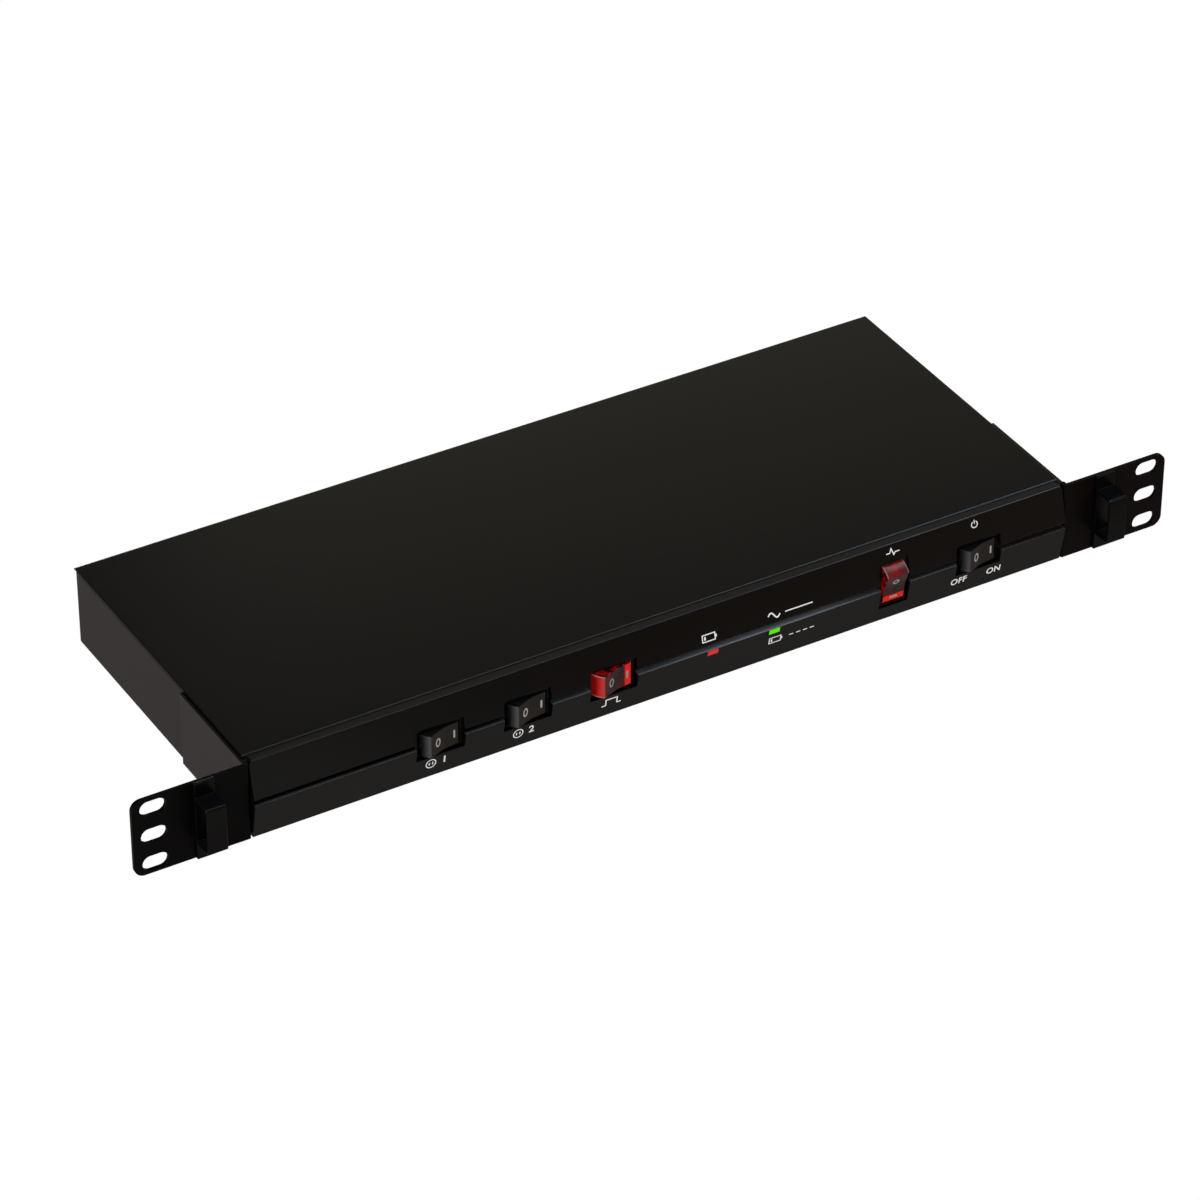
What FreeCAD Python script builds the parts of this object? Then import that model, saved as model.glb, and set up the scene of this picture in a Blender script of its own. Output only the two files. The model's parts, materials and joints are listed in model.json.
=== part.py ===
"""Rack uninterruptible power supply, one rack unit high, with two outlet banks.

Millimetres. +X runs along the front panel, +Y towards the back, +Z up.
The origin is under the middle of the whole unit, on the plane that it rests on.
"""
import FreeCAD, Part
import math
import os

import Sketcher

SIZES = (
    # Rack ears
    ("ear_width", 61.4, "ear from the chassis side to its end"),
    ("ear_height", 43.66, "height of the ear plates"),
    ("ear_lift", 0.17, "ear plate above the underside of the chassis"),
    ("ear_thick", 2.0, "steel of the ears"),
    ("ear_corner", 5.5, "rounded outer corners"),
    ("ear_bend", 1.0, "outer radius of the ear's fold"),
    ("ear_side_depth", 67.8, "side plate behind the ear's front face"),
    ("ear_side_inset", 0.95, "side plate below and above the ear's edges"),
    ("slot_inset", 11.1, "rack slot centres from the ear's end"),
    ("slot_pitch", 15.875, "rack slots, centre to centre up the ear"),
    ("slot_length", 13.6, "rack slot from end to end"),
    ("slot_width", 8.2, "rack slot across"),
    # Folded chassis and lid
    ("chassis_width", 461.4, "outside of the side walls"),
    ("chassis_height", 44.0, "underside of the base to the top of the lid"),
    ("chassis_depth", 187.0, "ear front face to the back of the lid"),
    ("steel", 1.2, "chassis sheet"),
    ("lid_steel", 1.0, "lid sheet"),
    ("fold_radius", 1.5, "outer radius of the base folds"),
    ("corner_radius", 2.5, "outer radius of the upright rear corners"),
    ("front_wall_setback", 3.0, "front wall behind the ear's front face"),
    ("front_lip", 15.0, "front wall's top lip"),
    ("side_lip", 8.0, "top lip of the side and rear walls"),
    ("lid_setback", 7.4, "lid's front edge behind the ear's front face"),
    ("lid_fold", 1.8, "outer radius of the lid's rear fold"),
    ("lid_flange", 3.0, "lid's rear flange"),
    ("lid_tab_drop", 9.7, "lid's screw tabs below its top"),
    ("lid_tab_width", 16.0, "lid's screw tabs"),
    ("lid_hook_width", 24.0, "hooks under the lid's front edge"),
    ("lid_hook_reach", 8.0, "hooks forward under the front lip"),
    ("slip", 0.2, "clearance between parts that slide past each other"),
    # Front bezel
    ("bezel_gap", 0.8, "bezel end to the chassis side"),
    ("bezel_top", 43.7, "top front edge of the bezel"),
    ("bezel_strip_back", 6.6, "back edge of the bezel's top strip"),
    ("bezel_strip_drop", 0.15, "fall of the top strip towards the back"),
    ("bezel_top_setback", 1.6, "top edge behind the ear's front face"),
    ("bezel_foot", 0.2, "bezel above the base"),
    ("bezel_foot_setback", 0.35, "bottom edge behind the ear's front face"),
    ("upper_nose", 2.9, "upper facet's lower edge in front of the ears"),
    ("lower_nose", 3.4, "ledge in front of the ears"),
    ("groove_top", 23.3, "top of the groove between the facets"),
    ("groove_floor", 20.6, "ledge at the bottom of the groove"),
    ("groove_back", 0.5, "groove's back behind the ear's front face"),
    ("bezel_corner", 2.2, "rounded top corners of the bezel"),
    ("bezel_edge", 0.4, "eased long edges of the bezel"),
    ("bezel_wall", 1.8, "moulded wall of the bezel"),
    ("bezel_rib", 2.5, "ribs beside the switch pockets"),
    # Rocker switches
    ("switch_height", 21.5, "switch centres above the base"),
    ("bank_switch_x", -129.8, "first of the three left switches"),
    ("bank_switch_pitch", 48.0, "left switches, centre to centre"),
    ("test_switch_x", 128.1, "upright switch"),
    ("main_switch_x", 177.9, "right switch"),
    ("flange_long", 26.2, "switch flange"),
    ("flange_short", 16.6, "switch flange across"),
    ("flange_thick", 1.4, "switch flange thickness"),
    ("housing_wall", 0.8, "switch housing wall"),
    ("housing_depth", 20.0, "switch housing behind its flange face"),
    ("rocker_room", 10.5, "depth of the hollow for the rocker"),
    ("rocker_radius", 11.3, "rounded ends of the rocker about its pivot"),
    ("rocker_thick", 12.4, "rocker across"),
    ("rocker_gap", 0.3, "rocker to housing"),
    ("rocker_rise", 5.7, "middle of the rocker's face in front of its pivot"),
    ("rocker_dish", 7.5, "slope of each half of the rocker's face, degrees"),
    ("rocker_tilt", 15.0, "rocker's lean to either side, degrees"),
    ("rocker_back", 1.5, "rocker's back behind its pivot"),
    ("rocker_nose", 6.0, "rocker's nose behind its pivot"),
    ("rocker_nose_width", 5.0, "rocker's nose"),
    ("rocker_valley", 14.0, "radius of the bend across the rocker's face"),
    ("rocker_edge", 0.35, "eased edges of the rocker"),
    ("pivot_depth", 3.5, "pivot behind the flange face"),
    ("pin_radius", 1.5, "rocker's pivot pins"),
    ("pin_reach", 0.75, "pivot pins beyond the rocker's sides"),
    ("pin_play", 0.08, "running clearance round the pivot pins"),
    ("tab_width", 4.8, "switch terminals"),
    ("tab_thick", 0.8, "switch terminal thickness"),
    ("tab_reach", 8.0, "switch terminals behind the housing"),
    ("tab_pitch", 7.0, "switch terminals, centre to centre"),
    # Indicators
    ("red_lamp_x", 21.5, "red indicator"),
    ("green_lamp_x", 56.9, "green indicator"),
    ("lens_width", 7.3, "indicator lens"),
    ("lens_low", 17.35, "bottom of the lenses"),
    ("lens_high", 20.05, "top of the lenses"),
    ("lens_back", 7.0, "lens back behind the ear's front face"),
    ("lens_proud", 0.2, "lens in front of the facet"),
    ("lamp_size", 3.0, "light emitter behind each lens"),
    ("lamp_depth", 2.2, "light emitter front to back"),
    ("lamp_board_low", 9.0, "bottom of the indicator board"),
    ("lamp_board_high", 31.0, "top of the indicator board"),
    ("lamp_board_margin", 14.0, "indicator board beyond the lenses"),
    ("lamp_post_margin", 5.0, "indicator posts from the board's ends"),
    # Handles
    ("handle_offset", 24.0, "handle centres from the chassis sides"),
    ("handle_width", 10.6, "handle strap and base plate"),
    ("handle_base", 1.7, "handle base plate"),
    ("handle_strap", 1.2, "handle strap"),
    ("handle_reach", 13.4, "handle in front of the ears"),
    ("handle_low", 9.4, "bottom of the handle loop"),
    ("handle_high", 36.0, "top of the handle loop"),
    ("handle_bend", 1.5, "outer radius of the strap's folds"),
    ("handle_edge", 0.3, "bevel of the strap's long front edges"),
    ("handle_hole_inset", 4.3, "handle screws from the ear's edges"),
    # Fasteners
    ("screw_radius", 1.45, "thread of the small screws"),
    ("screw_play", 0.05, "thread to its tapped hole"),
    ("screw_hole", 1.7, "clearance holes of the small screws"),
    ("head_radius", 2.8, "small screw heads"),
    ("head_high", 1.8, "small screw head height"),
    ("tap_depth", 1.3, "tapped depth in thin parts"),
    ("board_thick", 1.6, "circuit boards"),
    # Rear panel
    ("socket_height", 20.0, "rear sockets above the base"),
    ("inlet_x", 195.0, "mains inlet"),
    ("inlet_flange_width", 50.0, "mains inlet flange"),
    ("inlet_flange_height", 24.0, "mains inlet flange height"),
    ("inlet_flange_thick", 2.5, "mains inlet flange thickness"),
    ("inlet_screw_pitch", 40.0, "mains inlet screws"),
    ("inlet_body_width", 27.2, "mains inlet body"),
    ("inlet_body_height", 19.8, "mains inlet body height"),
    ("inlet_depth", 22.0, "mains inlet body inside the panel"),
    ("well_width", 24.6, "hollow of the mains inlet"),
    ("well_height", 16.6, "hollow of the mains inlet, height"),
    ("well_chamfer", 4.5, "cut corners of the sockets"),
    ("well_depth", 17.0, "depth of the mains inlet's hollow"),
    ("pin_spread", 7.0, "outer contacts from the middle"),
    ("pin_rise", 2.0, "contacts above and below the middle"),
    ("pin_wide", 4.0, "contact blades"),
    ("pin_thick", 2.0, "contact blade thickness"),
    ("outlet_pitch", 36.0, "outlets, centre to centre"),
    ("bank_one_x", 85.0, "middle of the first outlet bank"),
    ("bank_two_x", -35.0, "middle of the second outlet bank"),
    ("bank_flange_height", 27.0, "outlet bank flange"),
    ("bank_flange_thick", 2.0, "outlet bank flange thickness"),
    ("bank_margin", 2.0, "outlet bank flange beyond its body"),
    ("bank_depth", 18.0, "outlet bank inside the panel"),
    ("moat_width", 29.0, "outer width of each outlet's groove"),
    ("moat_height", 20.6, "outer height of each outlet's groove"),
    ("core_width", 24.0, "block in the middle of each outlet"),
    ("core_height", 15.6, "height of the block in each outlet"),
    ("moat_depth", 15.0, "depth of each outlet's groove"),
    ("aperture_play", 0.4, "contact apertures round the contacts"),
    ("breaker_x", 153.0, "reset breaker"),
    ("breaker_radius", 6.0, "threaded neck of the reset breaker"),
    ("breaker_nut", 8.5, "nut of the reset breaker, half across its corners"),
    ("breaker_nut_thick", 2.5, "breaker nut thickness"),
    ("breaker_neck", 4.0, "breaker neck behind the panel's outside"),
    ("breaker_body_width", 15.0, "breaker body"),
    ("breaker_body_height", 30.0, "breaker body height"),
    ("breaker_body_depth", 24.0, "breaker body inside the panel"),
    ("button_radius", 3.2, "reset button"),
    ("button_reach", 6.0, "reset button beyond the panel"),
    ("button_travel", 3.0, "reset button travel"),
    ("fan_x", -165.0, "fan"),
    ("fan_height", 21.5, "fan centre above the base"),
    ("fan_size", 40.0, "fan frame"),
    ("fan_depth", 15.0, "fan front to back"),
    ("fan_bore", 18.6, "radius of the fan's air way"),
    ("fan_hub", 10.5, "fan rotor hub radius"),
    ("blade_thick", 0.9, "fan blade thickness"),
    ("blade_chord", 13.0, "fan blade from edge to edge"),
    ("blade_pitch", 38.0, "fan blade pitch, degrees"),
    ("fan_tip_gap", 0.8, "blade tips to the air way"),
    ("fan_hole_pitch", 32.0, "fan screws"),
    ("fan_shaft", 1.5, "fan shaft radius"),
    ("fan_motor", 9.0, "fan motor mount radius"),
    ("fan_motor_plate", 3.0, "fan motor mount thickness"),
    ("fan_spoke", 3.0, "fan struts"),
    ("vent_radius", 3.1, "cells of the fan grille, half across their corners"),
    ("vent_pitch", 7.2, "cells of the fan grille, centre to centre"),
    ("stud_x", -208.0, "earth stud"),
    ("stud_height", 13.0, "earth stud above the base"),
    ("stud_radius", 2.0, "earth stud"),
    ("stud_reach", 9.0, "earth stud beyond the rear wall"),
    ("stud_nut", 4.0, "earth nut across its corners, half"),
    ("stud_nut_thick", 3.2, "earth nut thickness"),
    # Inside
    ("board_offset", 91.0, "left edge of the power board from the battery packs"),
    ("board_high_x", 216.0, "right edge of the power board"),
    ("board_front", 48.0, "front edge of the power board"),
    ("board_back", 152.0, "back edge of the power board"),
    ("post_height", 6.0, "posts under the power board"),
    ("post_radius", 3.0, "posts under the power board, radius"),
    ("post_inset", 5.0, "posts from the board's edges"),
    ("sink_offset", 111.0, "left end of the heat sink from the battery packs"),
    ("sink_length", 96.0, "heat sink length"),
    ("sink_front", 76.0, "heat sink's flat face"),
    ("sink_plate", 4.0, "heat sink back plate"),
    ("sink_fin", 11.0, "heat sink fins"),
    ("sink_fin_thick", 2.4, "heat sink fin thickness"),
    ("sink_height", 27.0, "heat sink height"),
    ("transistor_width", 10.2, "power transistors"),
    ("transistor_thick", 4.5, "power transistor thickness"),
    ("transistor_height", 15.5, "power transistor height"),
    ("transistor_leg", 3.5, "power transistor legs"),
    ("transistor_leg_thick", 0.8, "power transistor leg thickness"),
    ("capacitor_radius", 9.0, "capacitors"),
    ("capacitor_height", 29.0, "capacitor height"),
    ("capacitor_offset", 231.0, "first capacitor from the battery packs"),
    ("capacitor_y", 66.0, "capacitors behind the ear's front face"),
    ("capacitor_gap", 2.0, "gap between the capacitors"),
    ("relay_length", 20.0, "changeover relays"),
    ("relay_width", 15.5, "changeover relay width"),
    ("relay_height", 15.8, "changeover relay height"),
    ("relay_offset", 231.0, "first relay from the battery packs"),
    ("relay_y", 118.0, "relays behind the ear's front face"),
    ("relay_gap", 4.0, "gap between the relays"),
    ("iron_offset", 49.0, "middle of the transformer from the battery packs"),
    ("iron_y", 96.0, "middle of the transformer behind the ears"),
    ("iron_width", 54.0, "transformer core"),
    ("iron_stack", 26.0, "transformer core front to back"),
    ("iron_height", 36.0, "transformer core height"),
    ("iron_leg", 9.0, "outer legs of the transformer core"),
    ("winding_round", 8.0, "winding in front of and behind the core"),
    ("winding_gap", 0.2, "winding to core"),
    ("yoke_strap", 1.0, "transformer bracket"),
    ("yoke_foot", 10.0, "transformer bracket feet"),
    ("pack_x", -221.0, "left end of the battery packs"),
    ("pack_length", 150.0, "battery packs"),
    ("pack_width", 58.0, "battery pack width"),
    ("pack_height", 37.0, "battery pack height"),
    ("pack_front", 36.0, "front of the first battery pack"),
    ("pack_gap", 3.0, "gap between the battery packs"),
    ("pack_edge", 2.5, "rounded edges of the battery packs"),
    ("hoop_width", 18.0, "battery strap"),
    ("hoop_thick", 1.2, "battery strap thickness"),
    ("hoop_foot", 11.0, "battery strap feet"),
)

doc = FreeCAD.newDocument("RackPowerSupply")
sheet = doc.addObject("Spreadsheet::Sheet", "Sizes")
for row, (alias, number, note) in enumerate(SIZES, start=1):
    sheet.set("A%d" % row, alias)
    sheet.set("B%d" % row, str(number))
    sheet.setAlias("B%d" % row, alias)
    sheet.set("C%d" % row, note)
doc.recompute()


class Size:
    """A number together with the sheet formula that gives it."""

    def __init__(self, number, formula):
        self.number = float(number)
        self.formula = formula

    def __add__(self, other):
        return joined(self, "+", other, self.number + plain(other).number)

    def __radd__(self, other):
        return plain(other) + self

    def __sub__(self, other):
        return joined(self, "-", other, self.number - plain(other).number)

    def __rsub__(self, other):
        return plain(other) - self

    def __mul__(self, other):
        return joined(self, "*", other, self.number * plain(other).number)

    def __rmul__(self, other):
        return plain(other) * self

    def __truediv__(self, other):
        return joined(self, "/", other, self.number / plain(other).number)

    def __neg__(self):
        return plain(0) - self


def plain(value):
    """A bare number as a Size."""
    if isinstance(value, Size):
        return value
    return Size(value, "(%r)" % float(value))


def joined(left, sign, right, number):
    return Size(number, "(%s %s %s)" % (plain(left).formula, sign, plain(right).formula))


def tangent(angle):
    return Size(math.tan(math.radians(angle.number)), "tan(%s)" % angle.formula)


# Places and lengths that keep their share of the chassis when its width or depth changes
STANDARD_WIDTH = 461.4
STANDARD_DEPTH = 187.0
SHARES_WIDTH = (
    "bank_switch_x", "bank_switch_pitch", "test_switch_x", "main_switch_x", "red_lamp_x", "green_lamp_x",
    "inlet_x", "outlet_pitch", "bank_one_x", "bank_two_x", "breaker_x", "fan_x", "stud_x",
    "board_high_x", "pack_x", "pack_length")
SHARES_DEPTH = (
    "board_front", "board_back", "sink_front", "capacitor_y", "relay_y", "iron_y", "pack_front",
    "pack_width", "pack_gap")

# The row from the battery packs' right end to the board's right edge keeps its shares of that room
STANDARD_ROW = 287.0
SHARES_ROW = (
    "iron_offset", "iron_width", "board_offset", "sink_offset", "sink_length", "capacitor_offset",
    "capacitor_radius", "capacitor_gap", "relay_offset", "relay_length", "relay_gap")


class Sheet:
    """The driving sizes, by name."""

    def __getattr__(self, alias):
        size = Size(getattr(sheet, alias), "Sizes." + alias)
        if alias in SHARES_WIDTH:
            return size * (self.chassis_width / STANDARD_WIDTH)
        if alias in SHARES_DEPTH:
            return size * (self.chassis_depth / STANDARD_DEPTH)
        if alias in SHARES_ROW:
            return size * ((self.board_high_x - self.pack_x - self.pack_length) / STANDARD_ROW)
        return size


S = Sheet()
MARGIN = 1.0

# Planes that several parts share
ear_face = -(S.chassis_depth - S.lid_steel + S.stud_reach - S.handle_reach) / 2
half_width = S.chassis_width / 2
ear_tip = half_width + S.ear_width
handle_x = half_width + S.handle_offset
tray_top = S.chassis_height - S.lid_steel
front_wall = ear_face + S.front_wall_setback
front_wall_in = front_wall + S.steel
rear_wall = ear_face + S.chassis_depth - S.lid_steel
rear_wall_in = rear_wall - S.steel
handle_face = ear_face - S.handle_base
board_top = S.steel + S.post_height + S.board_thick
pack_end = S.pack_x + S.pack_length
iron_x = pack_end + S.iron_offset
board_low_x = pack_end + S.board_offset
sink_x = pack_end + S.sink_offset

nodes = {}


def bind(thing, path, size):
    thing.setExpression(path, plain(size).formula)


def node(name, thing):
    """Names a finished sub-part."""
    thing.Label = name
    nodes[name] = thing
    return thing


def block(name, x, y, z):
    """A box between a low and a high value on each axis."""
    solid = doc.addObject("Part::Box", name)
    for length, axis, (low, high) in (("Length", "x", x), ("Width", "y", y), ("Height", "z", z)):
        bind(solid, length, plain(high) - low)
        bind(solid, "Placement.Base." + axis, low)
    return solid


TURNS = {
    "x": FreeCAD.Rotation(FreeCAD.Vector(0, 1, 0), 90),
    "y": FreeCAD.Rotation(FreeCAD.Vector(1, 0, 0), -90),
    "z": FreeCAD.Rotation(),
}


def place(thing, x, y, z, turn=None):
    """Sets where a piece stands, with its own turn where it has one."""
    if turn is not None:
        thing.Placement = FreeCAD.Placement(FreeCAD.Vector(), turn)
    for axis, size in (("x", x), ("y", y), ("z", z)):
        bind(thing, "Placement.Base." + axis, size)
    return thing


def rod(name, axis, start, radius, length):
    """A cylinder from its start point along an axis."""
    solid = doc.addObject("Part::Cylinder", name)
    bind(solid, "Radius", radius)
    bind(solid, "Height", length)
    return place(solid, *start, turn=TURNS[axis])


def prism(name, axis, start, radius, length, sides):
    """A rod with flats, its radius measured to the corners."""
    solid = doc.addObject("Part::Prism", name)
    solid.Polygon = sides
    bind(solid, "Circumradius", radius)
    bind(solid, "Height", length)
    level = FreeCAD.Rotation(FreeCAD.Vector(0, 0, 1), 180.0 / sides)
    return place(solid, *start, turn=TURNS[axis].multiply(level))


def fuse(name, *solids):
    result = doc.addObject("Part::MultiFuse", name)
    result.Shapes = list(solids)
    return result


def cut(name, base, *tools):
    result = doc.addObject("Part::Cut", name)
    result.Base = base
    result.Tool = tools[0] if len(tools) == 1 else fuse(name + "_waste", *tools)
    return result


def group(name, *solids):
    """Separate solids that share one sub-part, such as equal screws."""
    result = doc.addObject("Part::Compound", name)
    result.Links = list(solids)
    return node(name, result)


PLANES = {"top": "XY_Plane", "front": "XZ_Plane", "side": "YZ_Plane"}


class Drawing:
    """A sketch at a level: top draws x, y; front draws x, z; side draws y, z."""

    def __init__(self, body, plane, level):
        self.body = body
        self.plane = plane
        self.sketch = body.newObject("Sketcher::SketchObject", body.Name + "_sketch")
        support = [o for o in body.Origin.OriginFeatures if o.Role == PLANES[plane]]
        self.sketch.AttachmentSupport = [(support[0], "")]
        self.sketch.MapMode = "FlatFace"
        outward = -plain(level) if plane == "front" else plain(level)
        bind(self.sketch, "AttachmentOffset.Base.z", outward)

    def pin(self, geometry, point, x, y):
        """Holds one point of the sketch at its two sizes."""
        for axis, size in (("X", plain(x)), ("Y", plain(y))):
            rule = Sketcher.Constraint("Distance" + axis, -1, 1, geometry, point, size.number)
            bind(self.sketch, "Constraints[%d]" % self.sketch.addConstraint(rule), size)

    def polygon(self, *corners):
        points = [FreeCAD.Vector(plain(x).number, plain(y).number, 0) for x, y in corners]
        count = len(points)
        lines = [self.sketch.addGeometry(Part.LineSegment(points[k], points[(k + 1) % count]))
                 for k in range(count)]
        for k, line in enumerate(lines):
            follower = lines[(k + 1) % count]
            self.sketch.addConstraint(Sketcher.Constraint("Coincident", line, 2, follower, 1))
            self.pin(line, 1, *corners[k])
        return self

    def rectangle(self, x, y):
        return self.polygon((x[0], y[0]), (x[1], y[0]), (x[1], y[1]), (x[0], y[1]))

    def centred(self, x, y, width, height):
        return self.rectangle((x - width / 2, x + width / 2), (y - height / 2, y + height / 2))

    def socket(self, x, y, width, height, chamfer):
        """The outline of a power socket: a rectangle with its two upper corners cut."""
        low, high = x - width / 2, x + width / 2
        foot, head = y - height / 2, y + height / 2
        return self.polygon((low, foot), (high, foot), (high, head - chamfer),
                            (high - chamfer, head), (low + chamfer, head), (low, head - chamfer))

    def circle(self, x, y, radius):
        centre = FreeCAD.Vector(plain(x).number, plain(y).number, 0)
        up = FreeCAD.Vector(0, 0, 1)
        ring = self.sketch.addGeometry(Part.Circle(centre, up, plain(radius).number))
        rule = Sketcher.Constraint("Radius", ring, plain(radius).number)
        bind(self.sketch, "Constraints[%d]" % self.sketch.addConstraint(rule), radius)
        self.pin(ring, 3, x, y)
        return self

    def bore(self, x, y, radius, sides=8):
        """A small round hole or pin, drawn with flats."""
        spokes = [math.radians(360.0 * (k + 0.5) / sides) for k in range(sides)]
        return self.polygon(*[(x + math.cos(a) * plain(radius), y + math.sin(a) * plain(radius))
                              for a in spokes])

    def slot(self, x, y, length, width):
        """A slot along the sketch's x with round ends."""
        radius = plain(width) / 2
        reach = length / 2 - radius
        up = FreeCAD.Vector(0, 0, 1)
        arcs = []
        for side, first in ((1, -90), (-1, 90)):
            centre = FreeCAD.Vector((x + side * reach).number, plain(y).number, 0)
            ring = Part.Circle(centre, up, radius.number)
            arc = Part.ArcOfCircle(ring, math.radians(first), math.radians(first + 180))
            arcs.append((self.sketch.addGeometry(arc), side))
        for arc, side in arcs:
            rule = Sketcher.Constraint("Radius", arc, radius.number)
            bind(self.sketch, "Constraints[%d]" % self.sketch.addConstraint(rule), radius)
            self.pin(arc, 3, x + side * reach, y)
            for end in (1, 2):
                self.sketch.addConstraint(Sketcher.Constraint("Vertical", arc, end, arc, 3))
        (right, _), (left, _) = arcs
        for start, finish in ((right, left), (left, right)):
            first = self.sketch.getPoint(start, 2)
            second = self.sketch.getPoint(finish, 1)
            line = self.sketch.addGeometry(Part.LineSegment(first, second))
            self.sketch.addConstraint(Sketcher.Constraint("Coincident", start, 2, line, 1))
            self.sketch.addConstraint(Sketcher.Constraint("Coincident", line, 2, finish, 1))
        return self

    def feature(self, kind, length, backwards):
        made = self.body.newObject("PartDesign::" + kind, self.body.Name + "_" + kind)
        made.Profile = self.sketch
        made.Reversed = backwards
        bind(made, "Length", length)
        self.sketch.Visibility = False
        return made

    def pad(self, length):
        """Adds material from the level towards the plus side."""
        return self.feature("Pad", length, self.plane == "front")

    def pocket(self, length):
        """Removes material from the level towards the plus side."""
        return self.feature("Pocket", length, self.plane != "front")


def new_body(name):
    return doc.addObject("PartDesign::Body", name)


def edges(shape, along=None, x=None, y=None, z=None, radius=None):
    """Names of the edges with a direction, a middle or a radius."""
    names = []
    for number, edge in enumerate(shape.Edges, start=1):
        middle = edge.valueAt((edge.FirstParameter + edge.LastParameter) / 2)
        wanted = ((x, middle.x), (y, middle.y), (z, middle.z))
        if any(w is not None and abs(plain(w).number - m) > 1e-3 for w, m in wanted):
            continue
        if along is not None:
            if edge.Curve.TypeId != "Part::GeomLine":
                continue
            if abs(abs(getattr(edge.tangentAt(edge.FirstParameter), along)) - 1) > 1e-3:
                continue
        if radius is not None:
            if edge.Curve.TypeId != "Part::GeomCircle":
                continue
            if abs(edge.Curve.Radius - plain(radius).number) > 1e-3:
                continue
        names.append("Edge%d" % number)
    return names


def ease(body, radius, *picks, flat=False):
    """Rounds the edges that each pick describes, or bevels them."""
    doc.recompute()
    base = body.Tip
    names = []
    for pick in picks:
        names += edges(base.Shape, **pick)
    kind, size = ("Chamfer", "Size") if flat else ("Fillet", "Radius")
    eased = body.newObject("PartDesign::" + kind, body.Name + "_ease")
    eased.Base = (base, sorted(set(names), key=lambda text: int(text[4:])))
    bind(eased, size, radius)
    return eased


def screw(name, axis, seat, length):
    """A small screw: its head stands on the plus side of its seat."""
    point = [plain(value) for value in seat]
    head = prism(name + "_head", axis, point, S.head_radius, S.head_high, 8)
    index = "xyz".index(axis)
    point[index] = point[index] - length
    thread = prism(name + "_thread", axis, point, S.screw_radius, length, 8)
    return fuse(name, head, thread)


# Rocker switches: name, place along the front, turned upright or not
SWITCHES = (
    ("bank_one", S.bank_switch_x, False),
    ("bank_two", S.bank_switch_x + S.bank_switch_pitch, False),
    ("bypass", S.bank_switch_x + 2 * S.bank_switch_pitch, False),
    ("test", S.test_switch_x, True),
    ("main", S.main_switch_x, False),
)
LAMPS = (("red", S.red_lamp_x), ("green", S.green_lamp_x))

room_long = 2 * (S.rocker_radius + S.rocker_gap)
room_short = S.rocker_thick + 2 * S.rocker_gap
body_long = room_long + 2 * S.housing_wall
body_short = room_short + 2 * S.housing_wall
pocket_long = S.flange_long + 2 * S.slip
pocket_short = S.flange_short + 2 * S.slip
hole_long = body_long + 2 * S.slip
hole_short = body_short + 2 * S.slip


def switch_openings(drawing, long_size, short_size):
    """One rectangle for each switch, along the panel or upright."""
    for _, x, upright in SWITCHES:
        wide, high = (short_size, long_size) if upright else (long_size, short_size)
        drawing.centred(x, S.switch_height, wide, high)


# Screws that hold the bezel from behind, each in a solid web of the moulding
BEZEL_SCREWS = (
    S.bank_switch_x - 70,
    S.bank_switch_x + 1.5 * S.bank_switch_pitch,
    S.green_lamp_x + 36,
    S.main_switch_x + 34,
)
bezel_screw_height = (S.groove_top + tray_top) / 2

# Rear panel places
LID_TABS = (S.stud_x, S.fan_x + 55, (S.bank_one_x + S.bank_two_x) / 2, S.breaker_x + 12)
LID_HOOKS = (-S.chassis_width / 3, plain(0), S.chassis_width / 3)
tab_low = S.chassis_height - S.lid_tab_drop
tab_screw_height = tab_low + S.lid_tab_drop * 0.4
bank_width = 3 * S.outlet_pitch
bank_body_width = bank_width - 2 * S.bank_margin
bank_body_height = S.bank_flange_height - 2 * S.bank_margin
BANKS = (("one", S.bank_one_x), ("two", S.bank_two_x))
FAN_CORNERS = [(S.fan_x + i * S.fan_hole_pitch / 2, S.fan_height + k * S.fan_hole_pitch / 2)
               for i in (-1, 1) for k in (-1, 1)]


# Feet on the base: the transformer's bracket and the battery strap
strap_x = S.pack_x + S.pack_length * 2 / 3
strap_front = ear_face + S.pack_front - S.slip
strap_back = ear_face + S.pack_front + 2 * S.pack_width + S.pack_gap + S.slip
strap_reach = S.hoop_thick + S.hoop_foot / 2
bracket_reach = S.iron_width / 2 + S.yoke_strap + S.yoke_foot / 2
FLOOR_SCREWS = (
    (strap_x, strap_front - strap_reach, S.hoop_thick),
    (strap_x, strap_back + strap_reach, S.hoop_thick),
    (iron_x - bracket_reach, ear_face + S.iron_y, S.yoke_strap),
    (iron_x + bracket_reach, ear_face + S.iron_y, S.yoke_strap),
)


def vent_holes():
    """Centres of the grille: rings of six-sided cells behind the fan's blades."""
    holes = [(S.fan_x, S.fan_height)]
    for ring in (1, 2):
        for step in range(6 * ring):
            angle = math.radians(60.0 * step / ring)
            holes.append((S.fan_x + ring * math.cos(angle) * S.vent_pitch,
                          S.fan_height + ring * math.sin(angle) * S.vent_pitch))
    return holes


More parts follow.
